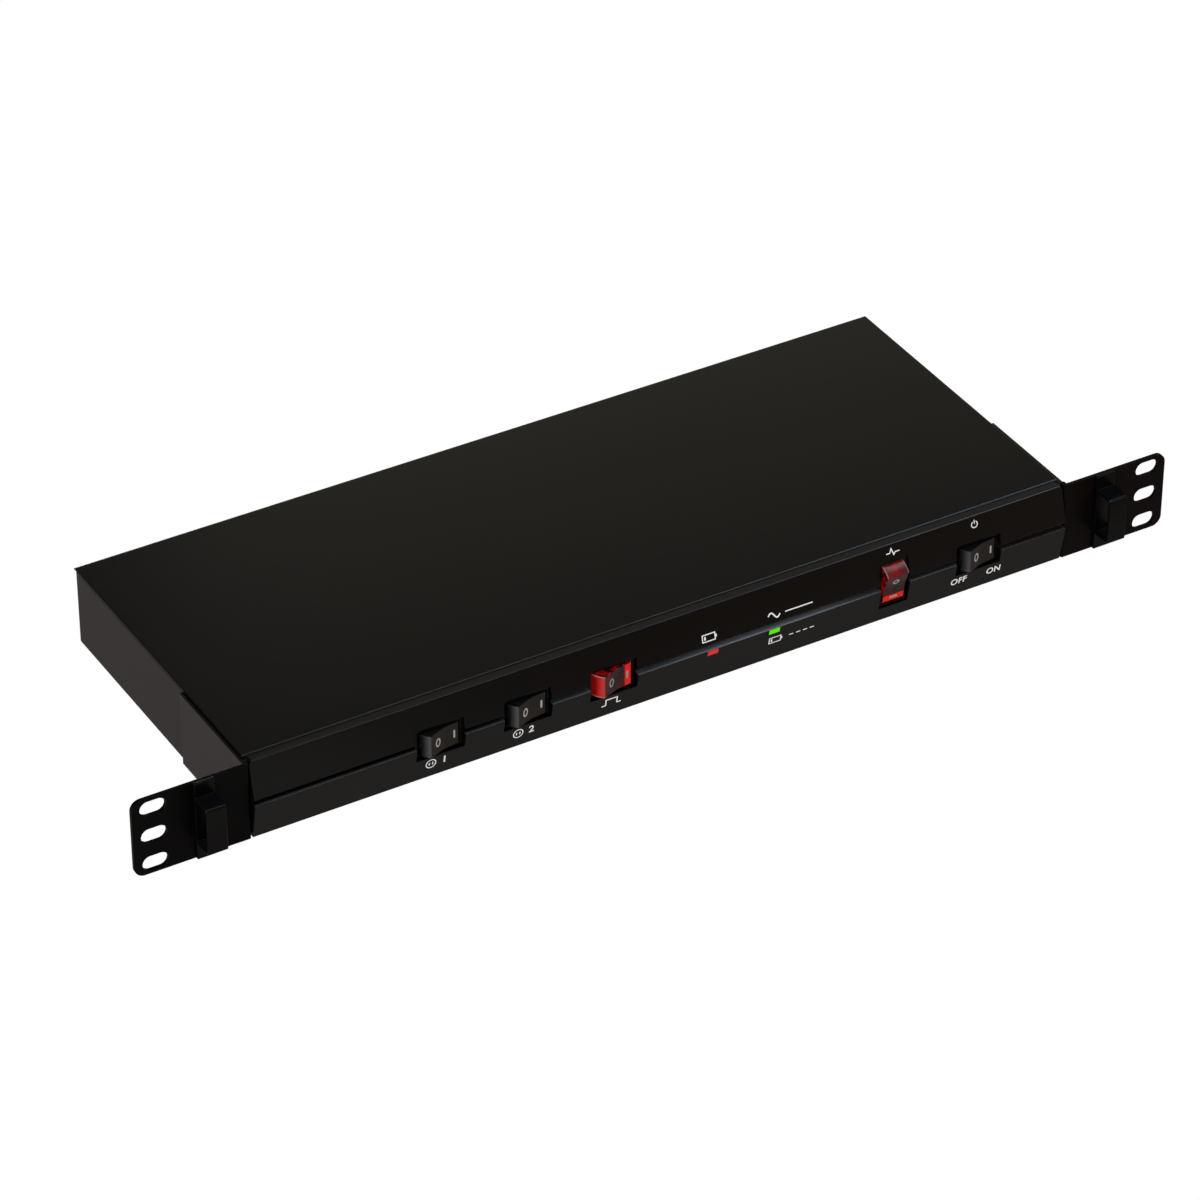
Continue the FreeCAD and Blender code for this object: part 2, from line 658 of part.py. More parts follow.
def chassis_tray():
    body = new_body("folded_tray")
    outside = Drawing(body, "top", 0)
    outside.rectangle((-half_width, half_width), (front_wall, rear_wall))
    outside.pad(tray_top)
    room = Drawing(body, "top", S.steel)
    room.rectangle((S.steel - half_width, half_width - S.steel), (front_wall_in, rear_wall_in))
    room.pocket(tray_top - 2 * S.steel)
    mouth = Drawing(body, "top", tray_top - S.steel)
    mouth.rectangle((S.side_lip - half_width, half_width - S.side_lip),
                    (front_wall + S.front_lip, rear_wall - S.side_lip))
    mouth.pocket(S.steel + MARGIN)

    front = Drawing(body, "front", front_wall - MARGIN)
    switch_openings(front, hole_long, hole_short)
    lens_middle = (S.lens_low + S.lens_high) / 2
    for _, x in LAMPS:
        front.centred(x, lens_middle, S.lens_width + 2 * S.slip, S.lens_high - S.lens_low + 2 * S.slip)
    for x in BEZEL_SCREWS:
        front.bore(x, bezel_screw_height, S.screw_hole)
    front.pocket(S.steel + 2 * MARGIN)

    rear = Drawing(body, "front", rear_wall_in - MARGIN)
    rear.centred(S.inlet_x, S.socket_height, S.inlet_body_width + 2 * S.slip,
                 S.inlet_body_height + 2 * S.slip)
    for side in (-1, 1):
        rear.bore(S.inlet_x + side * S.inlet_screw_pitch / 2, S.socket_height, S.screw_hole)
    for _, x in BANKS:
        rear.centred(x, S.socket_height, bank_body_width + 2 * S.slip, bank_body_height + 2 * S.slip)
    rear.circle(S.breaker_x, S.socket_height, S.breaker_radius + S.slip)
    rear.bore(S.stud_x, S.stud_height, S.stud_radius + S.screw_play)
    for x in LID_TABS:
        rear.bore(x, tab_screw_height, S.screw_radius + S.screw_play)
    for x, z in FAN_CORNERS:
        rear.bore(x, z, S.screw_hole)
    rear.pocket(S.steel + 2 * MARGIN)

    base = Drawing(body, "top", -MARGIN)
    for x, y, _ in FLOOR_SCREWS:
        base.bore(x, y, S.screw_radius + S.screw_play)
    base.pocket(S.steel + 2 * MARGIN)

    ease(body, S.corner_radius, dict(along="z", x=-half_width, y=rear_wall),
         dict(along="z", x=half_width, y=rear_wall))
    ease(body, S.fold_radius, dict(along="x", y=front_wall, z=0), dict(along="y", z=0, x=half_width),
         dict(along="y", z=0, x=-half_width), dict(along="x", y=rear_wall, z=0))
    ease(body, S.lid_steel / 2, dict(along="y", z=tray_top, x=half_width),
         dict(along="y", z=tray_top, x=-half_width), flat=True)
    grille = doc.addObject("Part::Compound", "grille_waste")
    grille.Links = [prism("grille_cell", "y", (x, rear_wall_in - MARGIN, z), S.vent_radius,
                          S.steel + 2 * MARGIN, 6) for x, z in vent_holes()]
    node("chassis_tray", cut("chassis_tray", body, grille))


def top_cover():
    body = new_body("top_cover")
    lid_back = rear_wall + S.lid_steel
    plate = Drawing(body, "top", tray_top)
    plate.rectangle((-half_width, half_width), (ear_face + S.lid_setback, lid_back))
    plate.pad(S.lid_steel)
    flange = Drawing(body, "front", rear_wall)
    flange.rectangle((S.corner_radius - half_width, half_width - S.corner_radius),
                     (S.chassis_height - S.lid_flange, S.chassis_height))
    flange.pad(S.lid_steel)
    for x in LID_TABS:
        tab = Drawing(body, "front", rear_wall)
        tab.rectangle((x - S.lid_tab_width / 2, x + S.lid_tab_width / 2), (tab_low, S.chassis_height))
        tab.pad(S.lid_steel)
    holes = Drawing(body, "front", rear_wall - MARGIN)
    for x in LID_TABS:
        holes.bore(x, tab_screw_height, S.screw_hole)
    holes.pocket(S.lid_steel + 2 * MARGIN)

    # Hooks that slide under the front lip when the lid is pushed forwards
    lip_end = front_wall + S.front_lip
    hook_top = tray_top - S.steel - S.slip
    for x in LID_HOOKS:
        hook = Drawing(body, "side", x - S.lid_hook_width / 2)
        back = lip_end + S.slip + S.lid_steel
        hook.polygon((lip_end + S.slip, tray_top), (lip_end + S.slip, hook_top),
                     (lip_end - S.lid_hook_reach, hook_top),
                     (lip_end - S.lid_hook_reach, hook_top - S.lid_steel),
                     (back, hook_top - S.lid_steel), (back, tray_top))
        hook.pad(S.lid_hook_width)

    ease(body, S.lid_fold, dict(along="x", y=lid_back, z=S.chassis_height))
    ease(body, 0.3 * S.lid_steel, dict(along="y", z=S.chassis_height, x=half_width),
         dict(along="y", z=S.chassis_height, x=-half_width),
         dict(along="x", z=S.chassis_height, y=ear_face + S.lid_setback))
    node("top_cover", body)


def facet_setback(z):
    """How far behind the ear's front face each facet is at a height, minus when in front."""
    if plain(z).number > S.groove_top.number - 1e-6:
        slope = (S.bezel_top_setback + S.upper_nose) / (S.bezel_top - S.groove_top)
        return S.bezel_top_setback - (S.bezel_top - z) * slope
    slope = (S.bezel_foot_setback + S.lower_nose) / (S.groove_floor - S.bezel_foot)
    return (S.groove_floor - z) * slope - S.lower_nose


def front_bezel():
    body = new_body("bezel_moulding")
    half = half_width - S.bezel_gap
    strip_back = ear_face + S.bezel_strip_back
    groove_back = ear_face + S.groove_back
    section = Drawing(body, "side", -half)
    section.polygon(
        (ear_face + S.bezel_top_setback, S.bezel_top),
        (ear_face - S.upper_nose, S.groove_top),
        (groove_back, S.groove_top),
        (groove_back, S.groove_floor),
        (ear_face - S.lower_nose, S.groove_floor),
        (ear_face + S.bezel_foot_setback, S.bezel_foot),
        (front_wall, S.bezel_foot),
        (front_wall, tray_top),
        (strip_back, tray_top),
        (strip_back, S.bezel_top - S.bezel_strip_drop))
    section.pad(2 * half)
    ease(body, S.bezel_edge,
         dict(along="x", y=ear_face + S.bezel_top_setback, z=S.bezel_top),
         dict(along="x", y=ear_face - S.upper_nose, z=S.groove_top),
         dict(along="x", y=ear_face - S.lower_nose, z=S.groove_floor))

    floor = ear_face + S.flange_thick
    pockets = Drawing(body, "front", ear_face - S.lower_nose - MARGIN)
    switch_openings(pockets, pocket_long, pocket_short)
    pockets.pocket(S.lower_nose + MARGIN + S.flange_thick)
    holes = Drawing(body, "front", floor - MARGIN)
    switch_openings(holes, hole_long, hole_short)
    holes.pocket(front_wall - floor + 2 * MARGIN)
    windows = Drawing(body, "front", ear_face - S.lower_nose - MARGIN)
    lens_middle = (S.lens_low + S.lens_high) / 2
    for _, x in LAMPS:
        windows.centred(x, lens_middle, S.lens_width + S.slip, S.lens_high - S.lens_low + S.slip)
    windows.pocket(front_wall - ear_face + S.lower_nose + 2 * MARGIN)

    # Hollows from behind leave an even wall, ribs at the pockets and a web at each screw
    switch_ribs = [(x, (pocket_short if upright else pocket_long) / 2 + S.bezel_rib)
                   for _, x, upright in SWITCHES]
    lamp_ribs = [(x, S.lens_width / 2 + S.bezel_rib) for _, x in LAMPS]
    webs = [(x, S.head_radius + S.bezel_wall) for x in BEZEL_SCREWS]
    solid = (webs[0], switch_ribs[0], switch_ribs[1], webs[1], switch_ribs[2], lamp_ribs[0],
             lamp_ribs[1], webs[2], switch_ribs[3], switch_ribs[4], webs[3])
    lows = [S.bezel_rib - half] + [x + reach for x, reach in solid]
    highs = [x - reach for x, reach in solid] + [half - S.bezel_rib]
    wedges = ((tray_top - S.bezel_wall, S.groove_top + S.bezel_wall),
              (S.groove_floor - S.bezel_wall, S.bezel_foot + S.bezel_wall))
    for low, high in zip(lows, highs):
        if (high - low).number < S.bezel_rib.number:
            continue
        hollow = Drawing(body, "side", low)
        for head, foot in wedges:
            hollow.polygon((front_wall + MARGIN, head),
                           (ear_face + facet_setback(head) + S.bezel_wall, head),
                           (ear_face + facet_setback(foot) + S.bezel_wall, foot),
                           (front_wall + MARGIN, foot))
        hollow.pocket(high - low)
    pilots = Drawing(body, "front", front_wall - S.tap_depth - S.steel)
    for x in BEZEL_SCREWS:
        pilots.bore(x, bezel_screw_height, S.screw_radius + S.screw_play)
    pilots.pocket(S.tap_depth + S.steel + MARGIN)

    # Rounded top corners
    waste = []
    for side in (-1, 1):
        middle = side * (half - S.bezel_corner)
        low, high = (middle, middle + (S.bezel_corner + MARGIN))
        if side < 0:
            low, high = (middle - (S.bezel_corner + MARGIN), middle)
        z_low = S.bezel_top - S.bezel_corner
        y_range = (ear_face - S.lower_nose - MARGIN, strip_back + MARGIN)
        corner = block("bezel_corner_block", (low, high), y_range, (z_low, S.bezel_top + MARGIN))
        keep = rod("bezel_corner_round", "y", (middle, y_range[0] - MARGIN, z_low), S.bezel_corner,
                   y_range[1] - y_range[0] + 2 * MARGIN)
        waste.append(cut("bezel_corner_waste", corner, keep))
    node("front_bezel", cut("front_bezel", body, *waste))


def ear(name, side):
    """One folded ear: a slotted plate in front and a plate along the chassis side."""
    body = new_body(name)
    tip = side * ear_tip
    inner = side * half_width
    outer = side * (half_width + S.ear_thick)
    back = ear_face + S.ear_side_depth
    section = Drawing(body, "top", S.ear_lift)
    section.polygon((tip, ear_face), (tip, ear_face + S.ear_thick), (outer, ear_face + S.ear_thick),
                    (outer, back), (inner, back), (inner, ear_face))
    section.pad(S.ear_height)
    ear_top = S.ear_lift + S.ear_height
    trim_x = (inner - MARGIN, outer + MARGIN) if side > 0 else (outer - MARGIN, inner + MARGIN)
    trim_y = (ear_face + 2 * S.ear_thick, back + MARGIN)
    foot = Drawing(body, "top", S.ear_lift - MARGIN)
    foot.rectangle(trim_x, trim_y)
    foot.pocket(S.ear_side_inset + MARGIN)
    head = Drawing(body, "top", ear_top - S.ear_side_inset)
    head.rectangle(trim_x, trim_y)
    head.pocket(S.ear_side_inset + MARGIN)
    slots = Drawing(body, "front", ear_face - MARGIN)
    middle = S.ear_lift + S.ear_height / 2
    for step in (-1, 0, 1):
        slots.slot(side * (ear_tip - S.slot_inset), middle + step * S.slot_pitch, S.slot_length, S.slot_width)
    for z in handle_screw_heights():
        slots.bore(side * handle_x, z, S.screw_hole)
    slots.pocket(S.ear_thick + 2 * MARGIN)
    ease(body, S.ear_corner, dict(along="y", x=tip))
    ease(body, S.ear_bend, dict(along="z", x=inner, y=ear_face))
    ease(body, S.ear_bend / 2, dict(along="z", x=outer, y=ear_face + S.ear_thick))
    node(name, body)


def handle_screw_heights():
    return (S.ear_lift + S.handle_hole_inset, S.ear_lift + S.ear_height - S.handle_hole_inset)


def handle(name, side):
    """A strap folded into a loop on a base plate as tall as the ear."""
    body = new_body(name)
    x = side * handle_x
    low, high = x - S.handle_width / 2, x + S.handle_width / 2
    base = Drawing(body, "front", handle_face)
    base.rectangle((low, high), (S.ear_lift, S.ear_lift + S.ear_height))
    base.pad(S.handle_base)
    root = handle_face + S.handle_base / 4
    reach = ear_face - S.handle_reach
    strap = S.handle_strap
    loop = Drawing(body, "side", low)
    loop.polygon((root, S.handle_high), (reach, S.handle_high), (reach, S.handle_low),
                 (root, S.handle_low), (root, S.handle_low + strap),
                 (reach + strap, S.handle_low + strap), (reach + strap, S.handle_high - strap),
                 (root, S.handle_high - strap))
    loop.pad(S.handle_width)
    holes = Drawing(body, "front", ear_face - S.tap_depth)
    for z in handle_screw_heights():
        holes.bore(x, z, S.screw_radius + S.screw_play)
    holes.pocket(S.tap_depth + MARGIN)
    ease(body, S.handle_bend, dict(along="x", y=reach, z=S.handle_high),
         dict(along="x", y=reach, z=S.handle_low))
    ease(body, S.handle_bend - strap, dict(along="x", y=reach + strap, z=S.handle_high - strap),
         dict(along="x", y=reach + strap, z=S.handle_low + strap))
    ease(body, S.handle_edge, dict(along="z", x=low, y=reach), dict(along="z", x=high, y=reach), flat=True)
    node(name, body)


UPRIGHT = FreeCAD.Rotation(FreeCAD.Vector(0, 1, 0), 90)


def switch_housing(name, x, upright):
    """Snap-in housing with a flange, a hollow for the rocker and its pivot holes."""
    body = new_body(name)
    flange = Drawing(body, "front", 0)
    flange.centred(plain(0), plain(0), S.flange_long, S.flange_short)
    flange.pad(S.flange_thick)
    ease(body, S.flange_thick / 4, dict(along="x", y=0), dict(along="z", y=0), flat=True)
    case = Drawing(body, "front", S.flange_thick)
    case.centred(plain(0), plain(0), body_long, body_short)
    case.pad(S.housing_depth - S.flange_thick)
    room = Drawing(body, "front", -MARGIN)
    room.centred(plain(0), plain(0), room_long, room_short)
    room.pocket(S.rocker_room + MARGIN)
    bearings = Drawing(body, "top", -body_short / 2 - MARGIN)
    bearings.bore(0, S.pivot_depth, (S.pin_radius + S.pin_play) / math.cos(math.pi / 12), 12)
    bearings.pocket(body_short + 2 * MARGIN)
    place(body, x, ear_face, S.switch_height, UPRIGHT if upright else FreeCAD.Rotation())
    node(name, body)


def rocker(name, x, upright):
    """Rocker with round ends about its pivot, a dished face, a nose and two pins."""
    body = new_body(name)
    far = S.rocker_radius + MARGIN
    deep = S.rocker_thick + 2 * MARGIN
    disc = Drawing(body, "top", -S.rocker_thick / 2)
    disc.circle(0, 0, S.rocker_radius)
    disc.pad(S.rocker_thick)
    face = Drawing(body, "top", -S.rocker_thick / 2 - MARGIN)
    shoulder = -(S.rocker_rise + far * tangent(S.rocker_dish))
    face.polygon((-far, -far), (far, -far), (far, shoulder), (0, -S.rocker_rise), (-far, shoulder))
    face.pocket(deep)
    back = Drawing(body, "top", -S.rocker_thick / 2 - MARGIN)
    half_nose = S.rocker_nose_width / 2
    back.polygon((-far, S.rocker_back), (-half_nose, S.rocker_back), (-half_nose / 2, S.rocker_nose),
                 (half_nose / 2, S.rocker_nose), (half_nose, S.rocker_back), (far, S.rocker_back),
                 (far, far), (-far, far))
    back.pocket(deep)
    ease(body, S.rocker_valley, dict(along="z", x=0, y=-S.rocker_rise))
    doc.recompute()
    front_edges = [dict(along="z", y=edge_y) for edge_y in front_corner_depths(body.Tip.Shape)]
    ease(body, S.rocker_edge, *front_edges, flat=True)
    pins = Drawing(body, "top", -S.rocker_thick / 2 - S.pin_reach)
    pins.bore(0, 0, S.pin_radius, 12)
    pins.pad(S.rocker_thick + 2 * S.pin_reach)
    lean = FreeCAD.Rotation(FreeCAD.Vector(0, 0, 1), S.rocker_tilt.number)
    turn = UPRIGHT.multiply(lean) if upright else lean
    place(body, x, ear_face + S.pivot_depth, S.switch_height, turn)
    node(name, body)


def front_corner_depths(shape):
    """Where the dished face meets the rocker's round ends."""
    return [min(vertex.Y for vertex in shape.Vertexes)]


def switch_terminals():
    """Two or three blades behind each switch."""
    blades = []
    back = ear_face + S.housing_depth
    for name, x, upright in SWITCHES:
        for step in (-1, 0, 1):
            offset = step * S.tab_pitch
            wide, high = (S.tab_thick, S.tab_width)
            cx, cz = x + offset, S.switch_height
            if upright:
                wide, high = high, wide
                cx, cz = x, S.switch_height + offset
            blades.append(block("terminal_" + name, (cx - wide / 2, cx + wide / 2),
                                (back, back + S.tab_reach), (cz - high / 2, cz + high / 2)))
    group("switch_terminals", *blades)


def indicators():
    """Lenses in the lower facet, light emitters, their board, posts and screws."""
    emitter_front = ear_face + S.lens_back + S.slip
    board_front = emitter_front + S.lamp_depth
    for colour, x in LAMPS:
        body = new_body(colour + "_lens")
        section = Drawing(body, "side", x - S.lens_width / 2)
        face_high = ear_face + facet_setback(S.lens_high) - S.lens_proud
        face_low = ear_face + facet_setback(S.lens_low) - S.lens_proud
        section.polygon((face_high, S.lens_high), (face_low, S.lens_low),
                        (ear_face + S.lens_back, S.lens_low), (ear_face + S.lens_back, S.lens_high))
        section.pad(S.lens_width)
        node(colour + "_lens", body)
    middle = (S.lens_low + S.lens_high) / 2
    group("light_emitters", *[
        block("emitter_" + colour, (x - S.lamp_size / 2, x + S.lamp_size / 2),
              (emitter_front, board_front), (middle - S.lamp_size / 2, middle + S.lamp_size / 2))
        for colour, x in LAMPS])
    low, high = S.red_lamp_x - S.lamp_board_margin, S.green_lamp_x + S.lamp_board_margin
    posts = [low + S.lamp_post_margin, high - S.lamp_post_margin]
    post_z = S.lamp_board_high - S.lamp_post_margin
    body = new_body("indicator_board")
    board = Drawing(body, "front", board_front)
    board.rectangle((low, high), (S.lamp_board_low, S.lamp_board_high))
    for x in posts:
        board.bore(x, post_z, S.screw_hole)
    board.pad(S.board_thick)
    node("indicator_board", body)
    pillars, screws = [], []
    for number, x in enumerate(posts, start=1):
        start = (x, front_wall_in, post_z)
        pillar = prism("pillar_%d" % number, "y", start, S.post_radius, board_front - front_wall_in, 6)
        bore = prism("pillar_bore_%d" % number, "y", (x, front_wall_in + S.steel, post_z),
                     S.screw_radius + S.screw_play, board_front - front_wall_in, 8)
        pillars.append(cut("pillar_tapped_%d" % number, pillar, bore))
        seat = (x, board_front + S.board_thick, post_z)
        screws.append(screw("indicator_screw_%d" % number, "y", seat, S.board_thick + S.tap_depth * 2))
    group("indicator_posts", *pillars)
    group("indicator_screws", *screws)


def mains_inlet():
    """Flanged inlet with a deep well, its three contacts and its two screws."""
    body = new_body("mains_inlet")
    z = S.socket_height
    flange = Drawing(body, "front", rear_wall)
    flange.centred(S.inlet_x, z, S.inlet_flange_width, S.inlet_flange_height)
    for side in (-1, 1):
        flange.bore(S.inlet_x + side * S.inlet_screw_pitch / 2, z, S.screw_hole)
    flange.pad(S.inlet_flange_thick)
    case = Drawing(body, "front", rear_wall - S.inlet_depth)
    case.centred(S.inlet_x, z, S.inlet_body_width, S.inlet_body_height)
    case.pad(S.inlet_depth + S.inlet_flange_thick / 2)
    face = rear_wall + S.inlet_flange_thick
    well = Drawing(body, "front", face - S.well_depth)
    well.socket(S.inlet_x, z, S.well_width, S.well_height, S.well_chamfer)
    well.pocket(S.well_depth + MARGIN)
    ease(body, 0.4 * S.inlet_flange_height, dict(along="y", x=S.inlet_x - S.inlet_flange_width / 2),
         dict(along="y", x=S.inlet_x + S.inlet_flange_width / 2))
    node("mains_inlet", body)

    contacts = []
    for name, x, height in contact_places(S.inlet_x):
        contacts.append(block("inlet_pin_" + name, (x - S.pin_thick / 2, x + S.pin_thick / 2),
                              (face - S.well_depth, face - S.slip * 5),
                              (height - S.pin_wide / 2, height + S.pin_wide / 2)))
    group("inlet_contacts", *contacts)
    group("inlet_screws", *[
        screw("inlet_screw_%d" % side, "y", (S.inlet_x + side * S.inlet_screw_pitch / 2, face, z),
              S.inlet_flange_thick + S.steel + S.tap_depth) for side in (-1, 1)])
    group("inlet_nuts", *[
        cut("inlet_nut_%d" % side,
            prism("inlet_nut_blank_%d" % side, "y",
                  (S.inlet_x + side * S.inlet_screw_pitch / 2, rear_wall_in - S.head_high, z),
                  S.head_radius, S.head_high, 6),
            prism("inlet_nut_bore_%d" % side, "y",
                  (S.inlet_x + side * S.inlet_screw_pitch / 2, rear_wall_in - 2 * S.head_high, z),
                  S.screw_radius + S.screw_play, 3 * S.head_high, 8)) for side in (-1, 1)])


def contact_places(x):
    """Line, earth and neutral: the earth stands higher, between the other two."""
    z = S.socket_height
    return (("line", x - S.pin_spread, z - S.pin_rise), ("earth", x, z + S.pin_rise),
            ("neutral", x + S.pin_spread, z - S.pin_rise))


def outlet_bank(name, x):
    """Three outlets in one moulding, each a block inside a groove, with three apertures."""
    body = new_body(name)
    z = S.socket_height
    flange = Drawing(body, "front", rear_wall)
    flange.centred(x, z, bank_width, S.bank_flange_height)
    flange.pad(S.bank_flange_thick)
    case = Drawing(body, "front", rear_wall - S.bank_depth)
    case.centred(x, z, bank_body_width, bank_body_height)
    case.pad(S.bank_depth + S.bank_flange_thick / 2)
    face = rear_wall + S.bank_flange_thick
    centres = [x + step * S.outlet_pitch for step in (-1, 0, 1)]
    moats = Drawing(body, "front", face - S.moat_depth)
    for centre in centres:
        moats.socket(centre, z, S.moat_width, S.moat_height, S.well_chamfer)
        moats.socket(centre, z, S.core_width, S.core_height, S.well_chamfer)
    moats.pocket(S.moat_depth + MARGIN)
    apertures = Drawing(body, "front", face - S.moat_depth)
    for centre in centres:
        for _, px, pz in contact_places(centre):
            apertures.centred(px, pz, S.pin_thick + S.aperture_play, S.pin_wide + S.aperture_play)
    apertures.pocket(S.moat_depth + MARGIN)
    ease(body, 0.08 * S.bank_flange_height, dict(along="y", x=x - bank_width / 2),
         dict(along="y", x=x + bank_width / 2), flat=True)
    node(name, body)


def reset_breaker():
    """Breaker with a threaded neck, its nut and its push button."""
    x, z = S.breaker_x, S.socket_height
    neck_end = rear_wall + S.breaker_neck
    case = block("breaker_case", (x - S.breaker_body_width / 2, x + S.breaker_body_width / 2),
                 (rear_wall_in - S.breaker_body_depth, rear_wall_in),
                 (z - S.breaker_body_height / 2, z + S.breaker_body_height / 2))
    neck = rod("breaker_neck_rod", "y", (x, rear_wall_in - MARGIN, z), S.breaker_radius,
               neck_end - rear_wall_in + MARGIN)
    shaft_room = S.breaker_body_depth / 2
    bore = rod("breaker_bore", "y", (x, rear_wall_in - shaft_room, z), S.button_radius + S.pin_play,
               neck_end - rear_wall_in + shaft_room + MARGIN)
    node("reset_breaker", cut("reset_breaker", fuse("breaker_solid", case, neck), bore))
    ring = prism("breaker_ring", "y", (x, rear_wall, z), S.breaker_nut, S.breaker_nut_thick, 6)
    ring_bore = prism("breaker_ring_bore", "y", (x, rear_wall - MARGIN, z),
                      (S.breaker_radius + S.screw_play) / math.cos(math.pi / 16),
                      S.breaker_nut_thick + 2 * MARGIN, 16)
    node("breaker_nut", cut("breaker_nut", ring, ring_bore))
    length = shaft_room / 2 + (rear_wall - rear_wall_in) + S.button_reach
    node("breaker_button", rod("breaker_button", "y", (x, rear_wall + S.button_reach - length, z),
                               S.button_radius, length))


def fan():
    """Axial fan: frame with a motor mount on struts, rotor with swept blades, screws."""
    x, z = S.fan_x, S.fan_height
    front, back = rear_wall_in - S.fan_depth, rear_wall_in
    body = new_body("fan_frame")
    square = Drawing(body, "front", front)
    square.centred(x, z, S.fan_size, S.fan_size)
    square.pad(S.fan_depth)
    bore = Drawing(body, "front", front - MARGIN)
    bore.circle(x, z, S.fan_bore)
    for hx, hz in FAN_CORNERS:
        bore.bore(hx, hz, S.screw_radius + S.screw_play)
    bore.pocket(S.fan_depth + 2 * MARGIN)
    ease(body, S.fan_size / 20, dict(along="y", x=x - S.fan_size / 2),
         dict(along="y", x=x + S.fan_size / 2), flat=True)
    strut_reach = S.fan_bore + MARGIN / 2
    motor = rod("fan_motor", "y", (x, front, z), S.fan_motor, S.fan_motor_plate)
    struts = [block("fan_strut_x", (x - strut_reach, x + strut_reach), (front, front + S.fan_motor_plate),
                    (z - S.fan_spoke / 2, z + S.fan_spoke / 2)),
              block("fan_strut_z", (x - S.fan_spoke / 2, x + S.fan_spoke / 2),
                    (front, front + S.fan_motor_plate), (z - strut_reach, z + strut_reach))]
    shaft_bore = rod("fan_shaft_bore", "y", (x, front - MARGIN, z), S.fan_shaft + S.pin_play,
                     S.fan_motor_plate + 2 * MARGIN)
    solid = fuse("fan_frame_solid", body, motor, *struts)
    node("fan_frame", cut("fan_frame_bored", solid, shaft_bore))

    hub_front = front + S.fan_motor_plate + S.slip * 2
    hub_back = back - S.slip * 5
    hub = rod("fan_hub_rod", "y", (x, hub_front, z), S.fan_hub, hub_back - hub_front)
    shaft = rod("fan_shaft_rod", "y", (x, front + S.slip, z), S.fan_shaft, hub_back - front - S.slip)
    blade_root = S.fan_hub * 0.8
    blade_tip = (S.fan_bore - S.fan_tip_gap) * 0.95
    blades = [fan_blade(360.0 * step / 7, (x, (hub_front + hub_back) / 2, z), blade_root, blade_tip)
              for step in range(7)]
    node("fan_rotor", fuse("fan_rotor_solid", hub, shaft, *blades))
    group("fan_screws", *[
        screw("fan_screw_%d" % number, "y", (hx, rear_wall, hz), S.steel + 4 * S.tap_depth)
        for number, (hx, hz) in enumerate(FAN_CORNERS, start=1)])


def fan_blade(angle, centre, root, tip):
    """One pitched blade from inside the hub to a little within the air way."""
    blade = doc.addObject("Part::Box", "fan_blade")
    lengths = (S.blade_chord, S.blade_thick, tip - root)
    for path, length in zip(("Length", "Width", "Height"), lengths):
        bind(blade, path, length)
    spin = FreeCAD.Rotation(FreeCAD.Vector(0, 1, 0), angle)
    turn = spin.multiply(FreeCAD.Rotation(FreeCAD.Vector(0, 0, 1), S.blade_pitch.number))
    along, across, out = (turn.multVec(FreeCAD.Vector(*way)) for way in ((1, 0, 0), (0, 1, 0), (0, 0, 1)))
    corner = [centre[k] + out[k] * root - along[k] / 2 * S.blade_chord - across[k] / 2 * S.blade_thick
              for k in range(3)]
    return place(blade, *corner, turn=turn)


def earth_stud():
    x, z = S.stud_x, S.stud_height
    flange = prism("stud_flange", "y", (x, rear_wall_in - S.steel, z), 2 * S.stud_radius, S.steel, 6)
    shank = prism("stud_shank", "y", (x, rear_wall_in - S.steel, z), S.stud_radius,
                  2 * S.steel + S.stud_reach, 8)
    node("earth_stud", fuse("earth_stud", flange, shank))
    body = new_body("earth_nut")
    hexagon = Drawing(body, "front", rear_wall)
    hexagon.polygon(*[(x + math.cos(math.radians(60 * k)) * S.stud_nut,
                       z + math.sin(math.radians(60 * k)) * S.stud_nut) for k in range(6)])
    hexagon.bore(x, z, S.stud_radius + S.screw_play)
    hexagon.pad(S.stud_nut_thick)
    node("earth_nut", body)


def power_board():
    """The board on its posts, with its screws."""
    front, back = ear_face + S.board_front, ear_face + S.board_back
    xs = (board_low_x + S.post_inset, (board_low_x + S.board_high_x) / 2, S.board_high_x - S.post_inset)
    places = [(x, y) for x in xs for y in (front + S.post_inset, back - S.post_inset)]
    body = new_body("power_board")
    drawing = Drawing(body, "top", S.steel + S.post_height)
    drawing.rectangle((board_low_x, S.board_high_x), (front, back))
    for x, y in places:
        drawing.bore(x, y, S.screw_hole)
    drawing.pad(S.board_thick)
    node("power_board", body)
    posts, screws = [], []
    for number, (x, y) in enumerate(places, start=1):
        post = prism("post_%d" % number, "z", (x, y, S.steel), S.post_radius, S.post_height, 6)
        bore = prism("post_bore_%d" % number, "z", (x, y, 2 * S.steel), S.screw_radius + S.screw_play,
                     S.post_height, 8)
        posts.append(cut("post_tapped_%d" % number, post, bore))
        screws.append(screw("board_screw_%d" % number, "z", (x, y, board_top),
                            S.board_thick + 2 * S.tap_depth))
    group("board_posts", *posts)
    group("board_screws", *screws)


